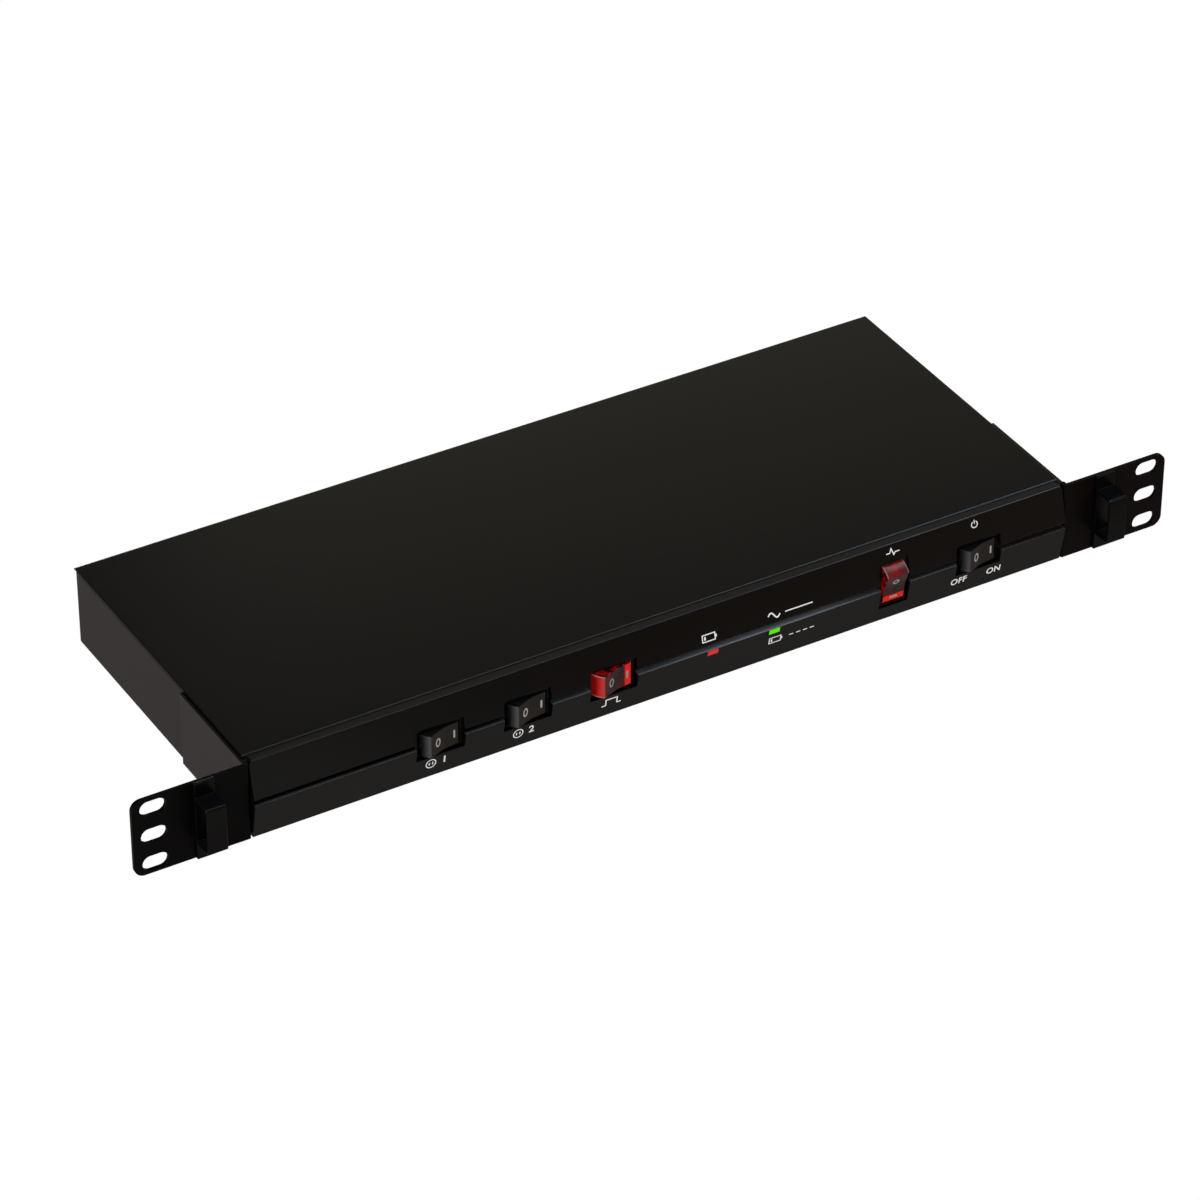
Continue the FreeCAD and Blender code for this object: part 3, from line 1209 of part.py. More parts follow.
def heat_sink():
    """Comb of fins on a back plate, with the transistors on its flat face."""
    flat = ear_face + S.sink_front
    plate_back = flat + S.sink_plate
    fin_end = plate_back + S.sink_fin
    count = 11
    pitch = (S.sink_length - S.sink_fin_thick) / (count - 1)
    corners = [(sink_x, flat)]
    for number in range(count):
        left = sink_x + number * pitch
        if number:
            corners.append((left, plate_back))
        corners += [(left, fin_end), (left + S.sink_fin_thick, fin_end)]
        if number < count - 1:
            corners.append((left + S.sink_fin_thick, plate_back))
    corners.append((sink_x + S.sink_length, flat))
    body = new_body("heat_sink")
    Drawing(body, "top", board_top).polygon(*corners).pad(S.sink_height)
    node("heat_sink", body)

    parts = []
    spacing = S.sink_length / 4
    for number in range(4):
        middle = sink_x + (number + 0.5) * spacing
        low, high = middle - S.transistor_width / 2, middle + S.transistor_width / 2
        package = block("transistor_%d" % number, (low, high), (flat - S.transistor_thick, flat),
                        (board_top + S.transistor_leg, board_top + S.transistor_leg + S.transistor_height))
        leg_y = flat - S.transistor_thick / 2
        legs = [block("transistor_leg_%d_%d" % (number, k),
                      (middle + k * S.transistor_width / 4 - S.transistor_leg_thick / 2,
                       middle + k * S.transistor_width / 4 + S.transistor_leg_thick / 2),
                      (leg_y - S.transistor_leg_thick / 2, leg_y + S.transistor_leg_thick / 2),
                      (board_top, board_top + S.transistor_leg)) for k in (-1, 0, 1)]
        parts.append(fuse("transistor_solid_%d" % number, package, *legs))
    group("power_transistors", *parts)


def board_components():
    capacitors = []
    pitch = 2 * S.capacitor_radius + S.capacitor_gap
    for number in range(3):
        can = rod("capacitor_%d" % number, "z",
                  (pack_end + S.capacitor_offset + number * pitch, ear_face + S.capacitor_y, board_top),
                  S.capacitor_radius, S.capacitor_height)
        capacitors.append(can)
    group("capacitors", *capacitors)
    relays = []
    for number in range(2):
        low = pack_end + S.relay_offset - S.relay_length / 2 + number * (S.relay_length + S.relay_gap)
        case = new_body("relay_%d" % number)
        plan = Drawing(case, "top", board_top)
        plan.rectangle((low, low + S.relay_length),
                       (ear_face + S.relay_y, ear_face + S.relay_y + S.relay_width))
        plan.pad(S.relay_height)
        ease(case, S.relay_height / 16, dict(along="x", z=board_top + S.relay_height),
             dict(along="y", z=board_top + S.relay_height), flat=True)
        relays.append(case)
    group("changeover_relays", *relays)


def transformer():
    """Laminated core with two windows, a winding round its middle leg and a bracket."""
    x, y = iron_x, ear_face + S.iron_y
    low = S.steel
    high = low + S.iron_height
    half, stack = S.iron_width / 2, S.iron_stack / 2
    window_low, window_high = low + S.iron_leg, high - S.iron_leg
    body = new_body("transformer_core")
    core = Drawing(body, "front", y - stack)
    core.rectangle((x - half, x + half), (low, high))
    for side in (-1, 1):
        near, far = x + side * S.iron_leg, x + side * (half - S.iron_leg)
        core.rectangle((near, far) if side > 0 else (far, near), (window_low, window_high))
    core.pad(S.iron_stack)
    node("transformer_core", body)
    gap = S.winding_gap
    body = new_body("transformer_winding")
    winding = Drawing(body, "top", window_low + gap)
    reach_x, reach_y = half - S.iron_leg - gap, stack + S.winding_round
    winding.rectangle((x - reach_x, x + reach_x), (y - reach_y, y + reach_y))
    winding.rectangle((x - S.iron_leg - gap, x + S.iron_leg + gap), (y - stack - gap, y + stack + gap))
    winding.pad(window_high - window_low - 2 * gap)
    ease(body, S.winding_round / 2, dict(along="z", x=x - reach_x), dict(along="z", x=x + reach_x))
    node("transformer_winding", body)

    strap = S.yoke_strap
    outer = half + strap
    foot = outer + S.yoke_foot
    body = new_body("transformer_bracket")
    yoke = Drawing(body, "front", y - stack + gap)
    yoke.polygon((x - foot, low), (x - half, low), (x - half, high), (x + half, high), (x + half, low),
                 (x + foot, low), (x + foot, low + strap), (x + outer, low + strap),
                 (x + outer, high + strap), (x - outer, high + strap), (x - outer, low + strap),
                 (x - foot, low + strap))
    yoke.pad(S.iron_stack - 2 * gap)
    feet = Drawing(body, "top", low - MARGIN)
    for px, py, _ in FLOOR_SCREWS[2:]:
        feet.bore(px, py, S.screw_hole)
    feet.pocket(strap + 2 * MARGIN)
    ease(body, strap, dict(along="y", z=high + strap))
    node("transformer_bracket", body)


def battery_packs():
    """Two sealed packs side by side under one folded strap."""
    first = ear_face + S.pack_front
    fronts = [first, first + S.pack_width + S.pack_gap]
    high = S.steel + S.pack_height
    for name, front in zip(("battery_pack_one", "battery_pack_two"), fronts):
        body = new_body(name)
        plan = Drawing(body, "top", S.steel)
        plan.rectangle((S.pack_x, pack_end), (front, front + S.pack_width))
        plan.pad(S.pack_height)
        ease(body, S.pack_edge, dict(along="x", z=high), dict(along="y", z=high),
             dict(along="z", x=S.pack_x), dict(along="z", x=pack_end), flat=True)
        node(name, body)
    start, end = strap_front, strap_back
    thick, low = S.hoop_thick, S.steel
    body = new_body("battery_strap")
    hoop = Drawing(body, "side", strap_x - S.hoop_width / 2)
    hoop.polygon((start - thick - S.hoop_foot, low), (start, low), (start, high), (end, high), (end, low),
                 (end + thick + S.hoop_foot, low), (end + thick + S.hoop_foot, low + thick),
                 (end + thick, low + thick), (end + thick, high + thick), (start - thick, high + thick),
                 (start - thick, low + thick), (start - thick - S.hoop_foot, low + thick))
    hoop.pad(S.hoop_width)
    holes = Drawing(body, "top", low - MARGIN)
    for px, py, _ in FLOOR_SCREWS[:2]:
        holes.bore(px, py, S.screw_hole)
    holes.pocket(thick + 2 * MARGIN)
    ease(body, thick, dict(along="x", z=high + thick))
    node("battery_strap", body)


chassis_tray()
top_cover()
front_bezel()
for label, side in (("left", -1), ("right", 1)):
    ear(label + "_ear", side)
    handle(label + "_handle", side)
group("handle_screws", *[
    screw("handle_screw", "y", (side * handle_x, ear_face + S.ear_thick, z),
          S.ear_thick + S.tap_depth - S.slip / 2)
    for side in (-1, 1) for z in handle_screw_heights()])
group("bezel_screws", *[
    screw("bezel_screw", "y", (x, front_wall_in, bezel_screw_height), S.steel + S.tap_depth)
    for x in BEZEL_SCREWS])
group("cover_screws", *[
    screw("cover_screw", "y", (x, rear_wall + S.lid_steel, tab_screw_height),
          S.lid_steel + S.steel + S.tap_depth) for x in LID_TABS])
for label, x, upright in SWITCHES:
    switch_housing(label + "_switch_housing", x, upright)
    rocker(label + "_rocker", x, upright)
switch_terminals()
indicators()
mains_inlet()
for label, x in BANKS:
    outlet_bank("outlet_bank_" + label, x)
reset_breaker()
fan()
earth_stud()
power_board()
heat_sink()
board_components()
transformer()
battery_packs()
group("floor_screws", *[
    screw("floor_screw", "z", (x, y, S.steel + thick), S.steel + thick - S.slip)
    for x, y, thick in FLOOR_SCREWS])

doc.recompute()
for thing in doc.Objects:
    if "Invalid" in thing.State or "Error" in thing.State:
        raise RuntimeError("%s did not build: %s" % (thing.Label, thing.State))
for name, thing in nodes.items():
    if thing.Shape.isNull() or not thing.Shape.isValid():
        raise RuntimeError("%s has no sound shape" % name)

os.makedirs("parts", exist_ok=True)
for name, thing in nodes.items():
    thing.Shape.exportStep("parts/%s.step" % name)
    box = thing.Shape.BoundBox
    print("%-24s solids %2d volume %10.1f  x %.1f %.1f  y %.1f %.1f  z %.2f %.2f" % (
        name, len(thing.Shape.Solids), thing.Shape.Volume, box.XMin, box.XMax, box.YMin, box.YMax,
        box.ZMin, box.ZMax))
print(len(nodes), "sub-parts")
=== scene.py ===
"""Looks of the rack power supply: finishes, printed marks, screw heads, light and camera.

Metres. +X runs along the front panel, +Y towards the back, +Z up.
"""

import json
import math

import bmesh
import bpy
from mathutils import Matrix, Vector


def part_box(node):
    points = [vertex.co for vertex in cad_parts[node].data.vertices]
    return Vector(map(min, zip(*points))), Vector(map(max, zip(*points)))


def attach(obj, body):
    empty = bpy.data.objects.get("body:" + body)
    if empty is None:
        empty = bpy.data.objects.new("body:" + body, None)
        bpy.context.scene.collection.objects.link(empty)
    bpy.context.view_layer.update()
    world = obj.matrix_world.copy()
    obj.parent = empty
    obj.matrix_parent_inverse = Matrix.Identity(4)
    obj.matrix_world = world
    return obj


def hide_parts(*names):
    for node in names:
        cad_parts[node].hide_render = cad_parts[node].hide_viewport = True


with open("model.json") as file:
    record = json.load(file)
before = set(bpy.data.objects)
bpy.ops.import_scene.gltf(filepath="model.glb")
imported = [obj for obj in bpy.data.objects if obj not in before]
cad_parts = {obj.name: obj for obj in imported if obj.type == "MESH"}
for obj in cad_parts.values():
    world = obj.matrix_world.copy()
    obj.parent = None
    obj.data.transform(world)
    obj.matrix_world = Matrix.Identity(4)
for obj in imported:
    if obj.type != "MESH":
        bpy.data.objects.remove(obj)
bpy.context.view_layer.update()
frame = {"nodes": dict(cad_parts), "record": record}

MM = 0.001

# Radius of the tiny rounding that every real edge has
EDGE = 0.5 * MM

# Places on the object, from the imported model
ear_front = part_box("left_ear")[0].y
ear_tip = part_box("right_ear")[1].x
body_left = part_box("chassis_tray")[0].x
rear_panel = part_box("chassis_tray")[1].y
base_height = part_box("chassis_tray")[0].z
strip_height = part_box("front_bezel")[1].z
lid_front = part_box("top_cover")[0].y
switch_height = sum(corner.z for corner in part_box("bank_one_switch_housing")) / 2
pivot_depth = ear_front + 3.5 * MM

# Each switch, and whether it stands upright
SWITCHES = {
    "bank_one": False,
    "bank_two": False,
    "bypass": False,
    "test": True,
    "main": False,
}
# Switches with a clear red cap and a lamp inside
LIT = ("bypass", "test")

# A rocker's lean at rest, the slope of its dished face, and how far the face's middle stands out
ROCKER_LEAN = math.radians(15)
FACE_SLOPE = math.radians(7.5)
FACE_OUT = 5.7 * MM


def middle(node, axis):
    """Middle of a node along an axis."""
    low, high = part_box(node)
    return (low[axis] + high[axis]) / 2


# Shader building

NO_LIGHT = (0.0, 0.0, 0.0, 1.0)
WHITE = (1.0, 1.0, 1.0, 1.0)


def paint(red, green, blue):
    """A colour given as it is seen on a screen, 0 to 255, in light values."""
    def light(level):
        level /= 255
        return level / 12.92 if level <= 0.04045 else ((level + 0.055) / 1.055) ** 2.4
    return (light(red), light(green), light(blue), 1.0)


class Value:
    """One output of a shader, so that shader sums read as plain sums."""

    def __init__(self, finish, socket):
        self.finish = finish
        self.socket = socket

    def maths(self, operation, *values):
        return self.finish.node("ShaderNodeMath", {"operation": operation}, dict(enumerate(values)))

    def __add__(self, other):
        return self.maths("ADD", self, other)

    __radd__ = __add__

    def __sub__(self, other):
        return self.maths("SUBTRACT", self, other)

    def __rsub__(self, other):
        return self.maths("SUBTRACT", other, self)

    def __mul__(self, other):
        return self.maths("MULTIPLY", self, other)

    __rmul__ = __mul__

    def __truediv__(self, other):
        return self.maths("DIVIDE", self, other)

    def __gt__(self, other):
        return self.maths("GREATER_THAN", self, other)

    def __lt__(self, other):
        return self.maths("LESS_THAN", self, other)

    def __abs__(self):
        return self.maths("ABSOLUTE", self)

    def root(self):
        return self.maths("SQRT", self)

    def above(self, other):
        """The greater of the two."""
        return self.maths("MAXIMUM", self, other)

    def clamp(self):
        return self.maths("MINIMUM", self.above(0.0), 1.0)

    def rise(self, start, end):
        """0 below the start, 1 above the end, and a smooth slope between."""
        settings = {"interpolation_type": "SMOOTHSTEP"}
        return self.finish.node("ShaderNodeMapRange", settings, {0: self, 1: start, 2: end})


class Finish:
    """One procedural material, or the world, built node by node."""

    def __init__(self, name, family=bpy.data.materials):
        self.owner = family.new(name)
        self.owner.use_nodes = True
        self.tree = self.owner.node_tree
        self.tree.nodes.clear()
        self.place = self.node("ShaderNodeTexCoord", output="Object")
        split = self.node("ShaderNodeSeparateXYZ", {}, {0: self.place}, output=None)
        self.x, self.y, self.z = (Value(self, split.outputs[k]) for k in range(3))

    def node(self, kind, settings=None, inputs=None, output=0):
        """Any node: its settings first, then the values or links of its sockets."""
        made = self.tree.nodes.new(kind)
        for name, setting in (settings or {}).items():
            if name == "stops":
                ramp = made.color_ramp.elements
                while len(ramp) < len(setting):
                    ramp.new(0.5)
                for element, (position, colour) in zip(ramp, setting):
                    element.position = position
                    element.color = colour
            else:
                setattr(made, name, setting)
        for name, value in (inputs or {}).items():
            if isinstance(value, Value):
                self.tree.links.new(value.socket, made.inputs[name])
            else:
                made.inputs[name].default_value = value
        return made if output is None else Value(self, made.outputs[output])

    def noise(self, scale, detail=2.0, roughness=0.5, stretch=None):
        """Cloudy variation from 0 to 1, scale in waves per metre."""
        place = self.place
        if stretch is not None:
            place = self.node("ShaderNodeVectorMath", {"operation": "MULTIPLY"}, {0: place, 1: stretch})
        inputs = {"Vector": place, "Scale": scale, "Detail": detail, "Roughness": roughness}
        return self.node("ShaderNodeTexNoise", {}, inputs)

    def mix(self, share, first, second):
        """A blend of two colours."""
        return self.node("ShaderNodeMix", {"data_type": "RGBA"}, {0: share, 6: first, 7: second}, output=2)

    def bump(self, height, distance, strength=1.0, edge=0.0):
        """Relief on the surface, over edges rounded by a small radius."""
        inputs = {"Height": height, "Distance": distance, "Strength": strength}
        if edge:
            inputs["Normal"] = self.node("ShaderNodeBevel", {"samples": 4}, {"Radius": edge})
        return self.node("ShaderNodeBump", {}, inputs)

    def upward(self):
        """How far the surface faces up, from -1 to 1."""
        facing = self.node("ShaderNodeNewGeometry", output="Normal")
        return self.node("ShaderNodeSeparateXYZ", {}, {0: facing}, output=2)

    def ray(self, kind):
        """1 for light of one kind, such as Is Camera Ray, and 0 for the rest."""
        return self.node("ShaderNodeLightPath", output=kind)

    def blend(self, share, first, second):
        """A blend of two shaders."""
        return self.node("ShaderNodeMixShader", {}, {0: share, 1: first, 2: second})

    def close(self, shader, output="ShaderNodeOutputMaterial"):
        """Ends the nodes in a shader."""
        self.node(output, {}, {0: shader}, output=None)
        return self.owner

    def surface(self, colour, roughness, normal=None, glow=None, **constants):
        """Ends the material in one plain surface."""
        inputs = {"Base Color": colour, "Roughness": roughness}
        if normal is not None:
            inputs["Normal"] = normal
        if glow is not None:
            inputs["Emission Color"] = glow
        inputs.update({name.replace("_", " "): value for name, value in constants.items()})
        return self.close(self.node("ShaderNodeBsdfPrincipled", {}, inputs))


def shaded(colour, share, lift=0.0):
    """The colour at a share of its light."""
    return [min(1.0, level * share + lift) for level in colour[:3]] + [1.0]


# From this share on, a surface counts as facing up
FACING_UP = 0.35


def powder_coat(name, colour, roughness, gloss, crest=None, top=None):
    """Fine-grained coat with a slight orange peel. Crest is where a painted highlight along its front edge
    ends, top the colour painted on what faces up, a painted reflection."""
    coat = Finish(name)
    grain = coat.noise(2600, 2.0)
    peel = coat.noise(420, 2.0)
    cloud = coat.noise(14, 3.0)
    tone = coat.mix((cloud * 0.7 + grain * 0.3).rise(0.3, 0.72), shaded(colour, 0.72), colour)
    # A painted highlight along the front edge, bluer and brighter towards the right.
    if crest is not None:
        edge = coat.mix(coat.x.rise(-50 * MM, 200 * MM), paint(66, 68, 72), paint(98, 106, 116))
        tone = coat.mix(coat.y < crest, tone, edge)
    # What faces up takes the top colour: a painted reflection.
    if top is not None:
        tone = coat.mix(coat.upward() > FACING_UP, tone, top)
    rough = roughness - 0.03 + 0.03 * grain + 0.03 * cloud
    skin = coat.bump(grain * 0.5 + peel, 0.02 * MM, 0.4, EDGE)
    return coat.surface(tone, rough, skin, Specular_IOR_Level=gloss)


def ear_finish():
    """The ears' coat: dull on the faces, as glossy as the chassis along its sides."""
    coat = Finish("ear_black")
    grain = coat.noise(2600, 2.0)
    cloud = coat.noise(14, 3.0)
    tone = coat.mix((cloud * 0.7 + grain * 0.3).rise(0.3, 0.72), paint(8, 7, 6), paint(11, 10, 9))
    # The right ear is painted paler and browner than the left: painted light.
    tone = coat.mix(coat.x > 0.0, tone, paint(24, 18, 15))
    gloss = (coat.y - ear_front).rise(3 * MM, 5 * MM) * 0.68
    skin = coat.bump(grain, 0.02 * MM, 0.4, EDGE)
    return coat.surface(tone, 0.34 + 0.05 * grain, skin, Specular_IOR_Level=0.11, Coat_Weight=gloss,
                        Coat_Roughness=0.24)


def moulded(name, colour, roughness, gloss, grain_size=0.4, depth=0.02, glow=0.0):
    """Moulded plastic with a fine spark-eroded grain."""
    plastic = Finish(name)
    grain = plastic.noise(1000 / grain_size, 3.0, 0.6)
    cloud = plastic.noise(22, 2.0)
    pale = shaded(colour, 1.35, 0.0012)
    tone = plastic.mix((grain * 0.45 + cloud * 0.55).rise(0.35, 0.7), colour, pale)
    rough = roughness - 0.05 + 0.10 * grain
    skin = plastic.bump(grain, depth * MM, 0.6)
    # Glow makes print shine a little though no lamp lights it: painted light.
    lamp = {"glow": tone, "Emission_Strength": glow} if glow else {}
    return plastic.surface(tone, rough, skin, Specular_IOR_Level=gloss, **lamp)


# The ledge between the bezel's facets lies between these heights
LEDGE_FOOT = 19 * MM
LEDGE_TOP = 21 * MM


def bezel_finish():
    """The bezel's moulded skin, with painted light: paler towards the left end, a painted glint along the
    middle of its ledge, painted light and shade at the ledge's ends, and a painted highlight along its
    crest.
    """
    skin = Finish("bezel_black")
    grain = skin.noise(2500, 3.0, 0.6)
    cloud = skin.noise(22, 2.0)
    # Paler towards the left end: painted light.
    left_end_light_fade = skin.x.rise(-200 * MM, -60 * MM)
    dark = skin.mix(left_end_light_fade, paint(10, 9, 8), paint(5, 4, 3))
    pale = skin.mix(left_end_light_fade, paint(17, 15, 14), paint(11, 8, 7))
    tone = skin.mix((grain * 0.45 + cloud * 0.55).rise(0.35, 0.7), dark, pale)
    # The ledge: a painted glint along its middle, brightest at its peak. At its ends the front is painted
    # light and the back painted shade, and the right end a painted pale brown.
    ledge = (skin.upward() > FACING_UP) * (skin.z < LEDGE_TOP) * (skin.z > LEDGE_FOOT)
    glint_span = skin.x.rise(-130 * MM, 20 * MM) * (1 - skin.x.rise(60 * MM, 215 * MM))
    ends = skin.mix((skin.y - ear_front).rise(-2.4 * MM, -1.2 * MM), paint(72, 72, 71), paint(12, 12, 12))
    ends = skin.mix(skin.x.rise(150 * MM, 215 * MM), ends, paint(58, 50, 47))
    glint_peak = skin.x.rise(-30 * MM, 60 * MM) * (1 - skin.x.rise(80 * MM, 125 * MM))
    bright = skin.mix(glint_peak, paint(104, 111, 117), paint(156, 162, 174))
    tone = skin.mix(ledge, tone, skin.mix(glint_span, ends, bright))
    # The crest: a painted highlight line along the top front edge, bluer and brighter towards the right.
    crest = (skin.z > strip_height - 0.3 * MM) * (skin.y - ear_front < 1.9 * MM)
    edge = skin.mix(skin.x.rise(0.0, 200 * MM), paint(50, 53, 57), paint(92, 103, 118))
    tone = skin.mix(crest, tone, edge)
    rough = 0.30 + 0.08 * grain - 0.06 * ledge
    return skin.surface(tone, rough, skin.bump(grain, 0.015 * MM, 0.5, EDGE), Specular_IOR_Level=0.45)


def plated(name, colour, roughness, streak=(1.0, 1.0, 1.0)):
    """Bright plated metal, faintly streaked and clouded."""
    metal = Finish(name)
    fine = metal.noise(900, 3.0, 0.6, streak)
    cloud = metal.noise(70, 3.0)
    tone = metal.mix((fine * 0.4 + cloud * 0.6).rise(0.25, 0.75), shaded(colour, 0.74), colour)
    rough = roughness + 0.14 * (cloud - 0.5) + 0.08 * fine
    return metal.surface(tone, rough, metal.bump(fine, 0.02 * MM, 0.5), Metallic=1.0)


def circuit_board(name):
    """Green solder mask over copper tracks."""
    board = Finish(name)
    inputs = {"Vector": board.place, "Scale": 260.0, "Randomness": 0.2}
    cells = board.node("ShaderNodeTexVoronoi", {"distance": "MANHATTAN"}, inputs)
    tracks = cells.rise(0.32, 0.36)
    mask = board.mix(tracks, paint(16, 88, 44), paint(8, 58, 30))
    return board.surface(mask, 0.32 + 0.1 * board.noise(300), board.bump(1 - tracks, 0.03 * MM, 0.4))


def laminated(name):
    """Stacked iron sheets seen edge on."""
    iron = Finish(name)
    layers = iron.node("ShaderNodeTexWave", {"bands_direction": "Y"},
                       {"Vector": iron.place, "Scale": 320.0, "Distortion": 0.4, "Detail": 1.0}, output=1)
    tone = iron.mix(layers * 0.7 + 0.3 * iron.noise(120), paint(58, 56, 54), paint(112, 110, 106))
    return iron.surface(tone, 0.5 + 0.15 * layers, iron.bump(layers, 0.05 * MM, 0.6), Metallic=0.6)


def wound(name):
    """Yellow tape over the turns of the winding."""
    tape = Finish(name)
    turns = tape.node("ShaderNodeTexWave", {"bands_direction": "Z"},
                      {"Vector": tape.place, "Scale": 130.0, "Distortion": 0.6, "Detail": 1.0}, output=1)
    tone = tape.mix(turns * 0.5 + 0.5 * tape.noise(90), paint(176, 128, 34), paint(216, 176, 72))
    return tape.surface(tone, 0.38 + 0.1 * turns, tape.bump(turns, 0.12 * MM, 0.6))


# Half the width of a lens's clear part, and how far that part stands to the right of the lens's middle
CLEAR_HALF = 3.0 * MM
CLEAR_SHIFT = 0.35 * MM


def tinted_lens(name, deep, bright, glow):
    """Clear coloured lens with black ends, its lamp showing through."""
    lens = Finish(name)
    across = abs(lens.x - middle(name, 0) - CLEAR_SHIFT)
    clear = 1 - across.rise(CLEAR_HALF, 1.04 * CLEAR_HALF)
    # The clear part is painted paler in its middle: the lamp's hot spot painted into the colour.
    painted_hot_spot = 1 - across.rise(0.5 * MM, 4.5 * MM)
    grain = lens.noise(500, 2.0)
    tone = lens.mix(painted_hot_spot * 0.8 + 0.2 * grain, deep, bright)
    tone = lens.mix(clear, paint(16, 15, 14), tone)
    lamp = lens.mix(clear, NO_LIGHT, glow)
    return lens.surface(tone, 0.18 + 0.08 * grain, lens.bump(grain, 0.02 * MM, 0.4), lamp,
                        Emission_Strength=0.72)


# A rocker's face ends this many millimetres from the pivot, and this many from its middle line
FACE_REACH = 10.98
FACE_HALF = 6.0


def rocker_finish(name, upright, lit):
    """Rocker cap. The lit ones are tinted clear and glow at the pressed end.

    Run and rise are millimetres from the pivot, along the cap and inwards.
    """
    cap = Finish(name + "_rocker_cap")
    centre = middle(name + "_switch_housing", 0)
    along = (switch_height - cap.z) if upright else (cap.x - centre)
    across = (cap.x - centre) if upright else (cap.z - switch_height)
    depth = cap.y - pivot_depth
    run = (along * math.cos(ROCKER_LEAN) + depth * math.sin(ROCKER_LEAN)) / MM
    rise = (depth * math.cos(ROCKER_LEAN) - along * math.sin(ROCKER_LEAN)) / MM
    off_middle = abs(across) / MM
    end = (run * run + rise * rise).root().rise(FACE_REACH, FACE_REACH + 0.14)
    side = off_middle.rise(FACE_HALF, FACE_HALF + 0.12)
    grain = cap.noise(700, 2.0)
    cloud = cap.noise(260, 3.0, 0.65)
    skin = cap.bump(grain, 0.012 * MM, 0.5, EDGE)
    if not lit:
        face = cap.mix(cap.noise(90), paint(48, 41, 37), paint(57, 48, 43))
        # End faces painted from a pale painted highlight at the face's rim to painted shade further in; the
        # sides painted dark, painted shade.
        shade = cap.mix((rise + 9.0).rise(0.0, 6.0), paint(124, 123, 124), paint(24, 24, 25))
        tone = cap.mix(end, face, shade)
        tone = cap.mix(side * (1 - end), tone, paint(20, 21, 23))
        return cap.surface(tone, 0.30 + 0.12 * grain, skin, Specular_IOR_Level=0.35)

    # Smoky clear cap: bright band at the pressed end, red lamp light painted into the colour low in the
    # middle
    band = run.rise(5.0, 5.3)
    low = (1 - (across / MM + 0.4).rise(-0.25, 0.25)) * run.rise(0.8, 1.2)
    smoke = cap.mix(cloud.rise(0.35, 0.7), paint(58, 41, 38), paint(86, 61, 56))
    smoke = cap.mix(low * 0.8, smoke, paint(112, 32, 30))
    blush = (1 - run.rise(-6.5, -1.5)) * cloud.rise(0.3, 0.62)
    smoke = cap.mix(blush * 0.75, smoke, paint(150, 52, 48))
    front = cap.mix(band, smoke, paint(238, 38, 34))
    # Flat caps' end faces run from a pale painted highlight at the face's rim through red to painted shade
    # further in; all end faces get a painted highlight along their side edges.
    inward = (rise + 9.2 + (cloud - 0.5) * 1.6) / 8.0
    stops = [(0.0, paint(120, 96, 95)), (0.13, paint(126, 98, 98)), (0.2, paint(222, 92, 90)),
             (0.48, paint(216, 58, 56)), (0.6, paint(214, 14, 14)), (0.8, paint(130, 6, 8)),
             (1.0, paint(76, 4, 5))]
    end_tone = cap.node("ShaderNodeValToRGB", {"stops": stops}, {0: inward})
    if upright:
        end_tone = cap.mix(cloud.rise(0.42, 0.58), paint(92, 46, 45), paint(176, 38, 40))
    end_tone = cap.mix(off_middle.rise(5.55, 5.75), end_tone, paint(186, 150, 154))
    side_tone = cap.mix(cloud.rise(0.5, 0.62), paint(66, 8, 10), paint(196, 16, 16))
    tone = cap.mix(end, cap.mix(side, front, side_tone), end_tone)
    glow = cap.mix(band * (1 - end) * (1 - side), NO_LIGHT, paint(226, 26, 22))
    glow = cap.mix(end * (0.14 if upright else 0.5), glow, paint(190, 22, 20))
    glow = cap.mix(side * (1 - end) * cloud.rise(0.45, 0.6) * 0.5, glow, paint(190, 10, 10))
    return cap.surface(tone, 0.18 + 0.1 * grain, skin, glow, Emission_Strength=0.45,
                       Specular_IOR_Level=0.36)


FINISHES = {
    "black_steel": powder_coat("black_steel", paint(12, 11, 10), 0.24, 0.42),
    # The handles' upward faces are painted bluish: a painted reflection.
    "handle_black": powder_coat("handle_black", paint(11, 10, 9), 0.30, 0.24, top=paint(15, 19, 23)),
    "bezel_black": bezel_finish(),
    "switch_black": moulded("switch_black", paint(12, 12, 12), 0.34, 0.3),
    "rocker_black": moulded("rocker_black", paint(36, 34, 32), 0.35, 0.35),
    "zinc": plated("zinc", paint(176, 178, 182), 0.34),
    "screw_black": powder_coat("screw_black", paint(20, 20, 21), 0.35, 0.5),
    "brass_plate": plated("brass_plate", paint(196, 190, 168), 0.26),
    "socket_black": moulded("socket_black", paint(20, 20, 21), 0.42, 0.4, 0.6, 0.03),
    "board_green": circuit_board("board_green"),
    "fan_black": moulded("fan_black", paint(18, 18, 19), 0.45, 0.4, 0.8, 0.03),
    "sink_aluminium": plated("sink_aluminium", paint(188, 190, 194), 0.38, (1.0, 1.0, 0.05)),
    "package_black": moulded("package_black", paint(22, 22, 23), 0.5, 0.4),
    "capacitor_sleeve": moulded("capacitor_sleeve", paint(22, 28, 52), 0.32, 0.45),
    "relay_blue": moulded("relay_blue", paint(24, 62, 128), 0.36, 0.45),
    "lamination": laminated("lamination"),
    "winding_tape": wound("winding_tape"),
    "pack_case": moulded("pack_case", paint(42, 45, 50), 0.48, 0.4, 0.9, 0.05),
    "emitter": moulded("emitter", paint(226, 226, 214), 0.2, 0.5),
    "lens_red": tinted_lens("red_lens", paint(150, 20, 24), paint(220, 54, 54), paint(206, 40, 44)),
    "lens_green": tinted_lens("green_lens", paint(50, 150, 0), paint(84, 214, 0), paint(92, 232, 0)),
    "ear_black": ear_finish(),
    # The lid's front edge carries a painted highlight.
    "lid_black": powder_coat("lid_black", paint(12, 11, 10), 0.24, 0.42, lid_front + 0.35 * MM),
}
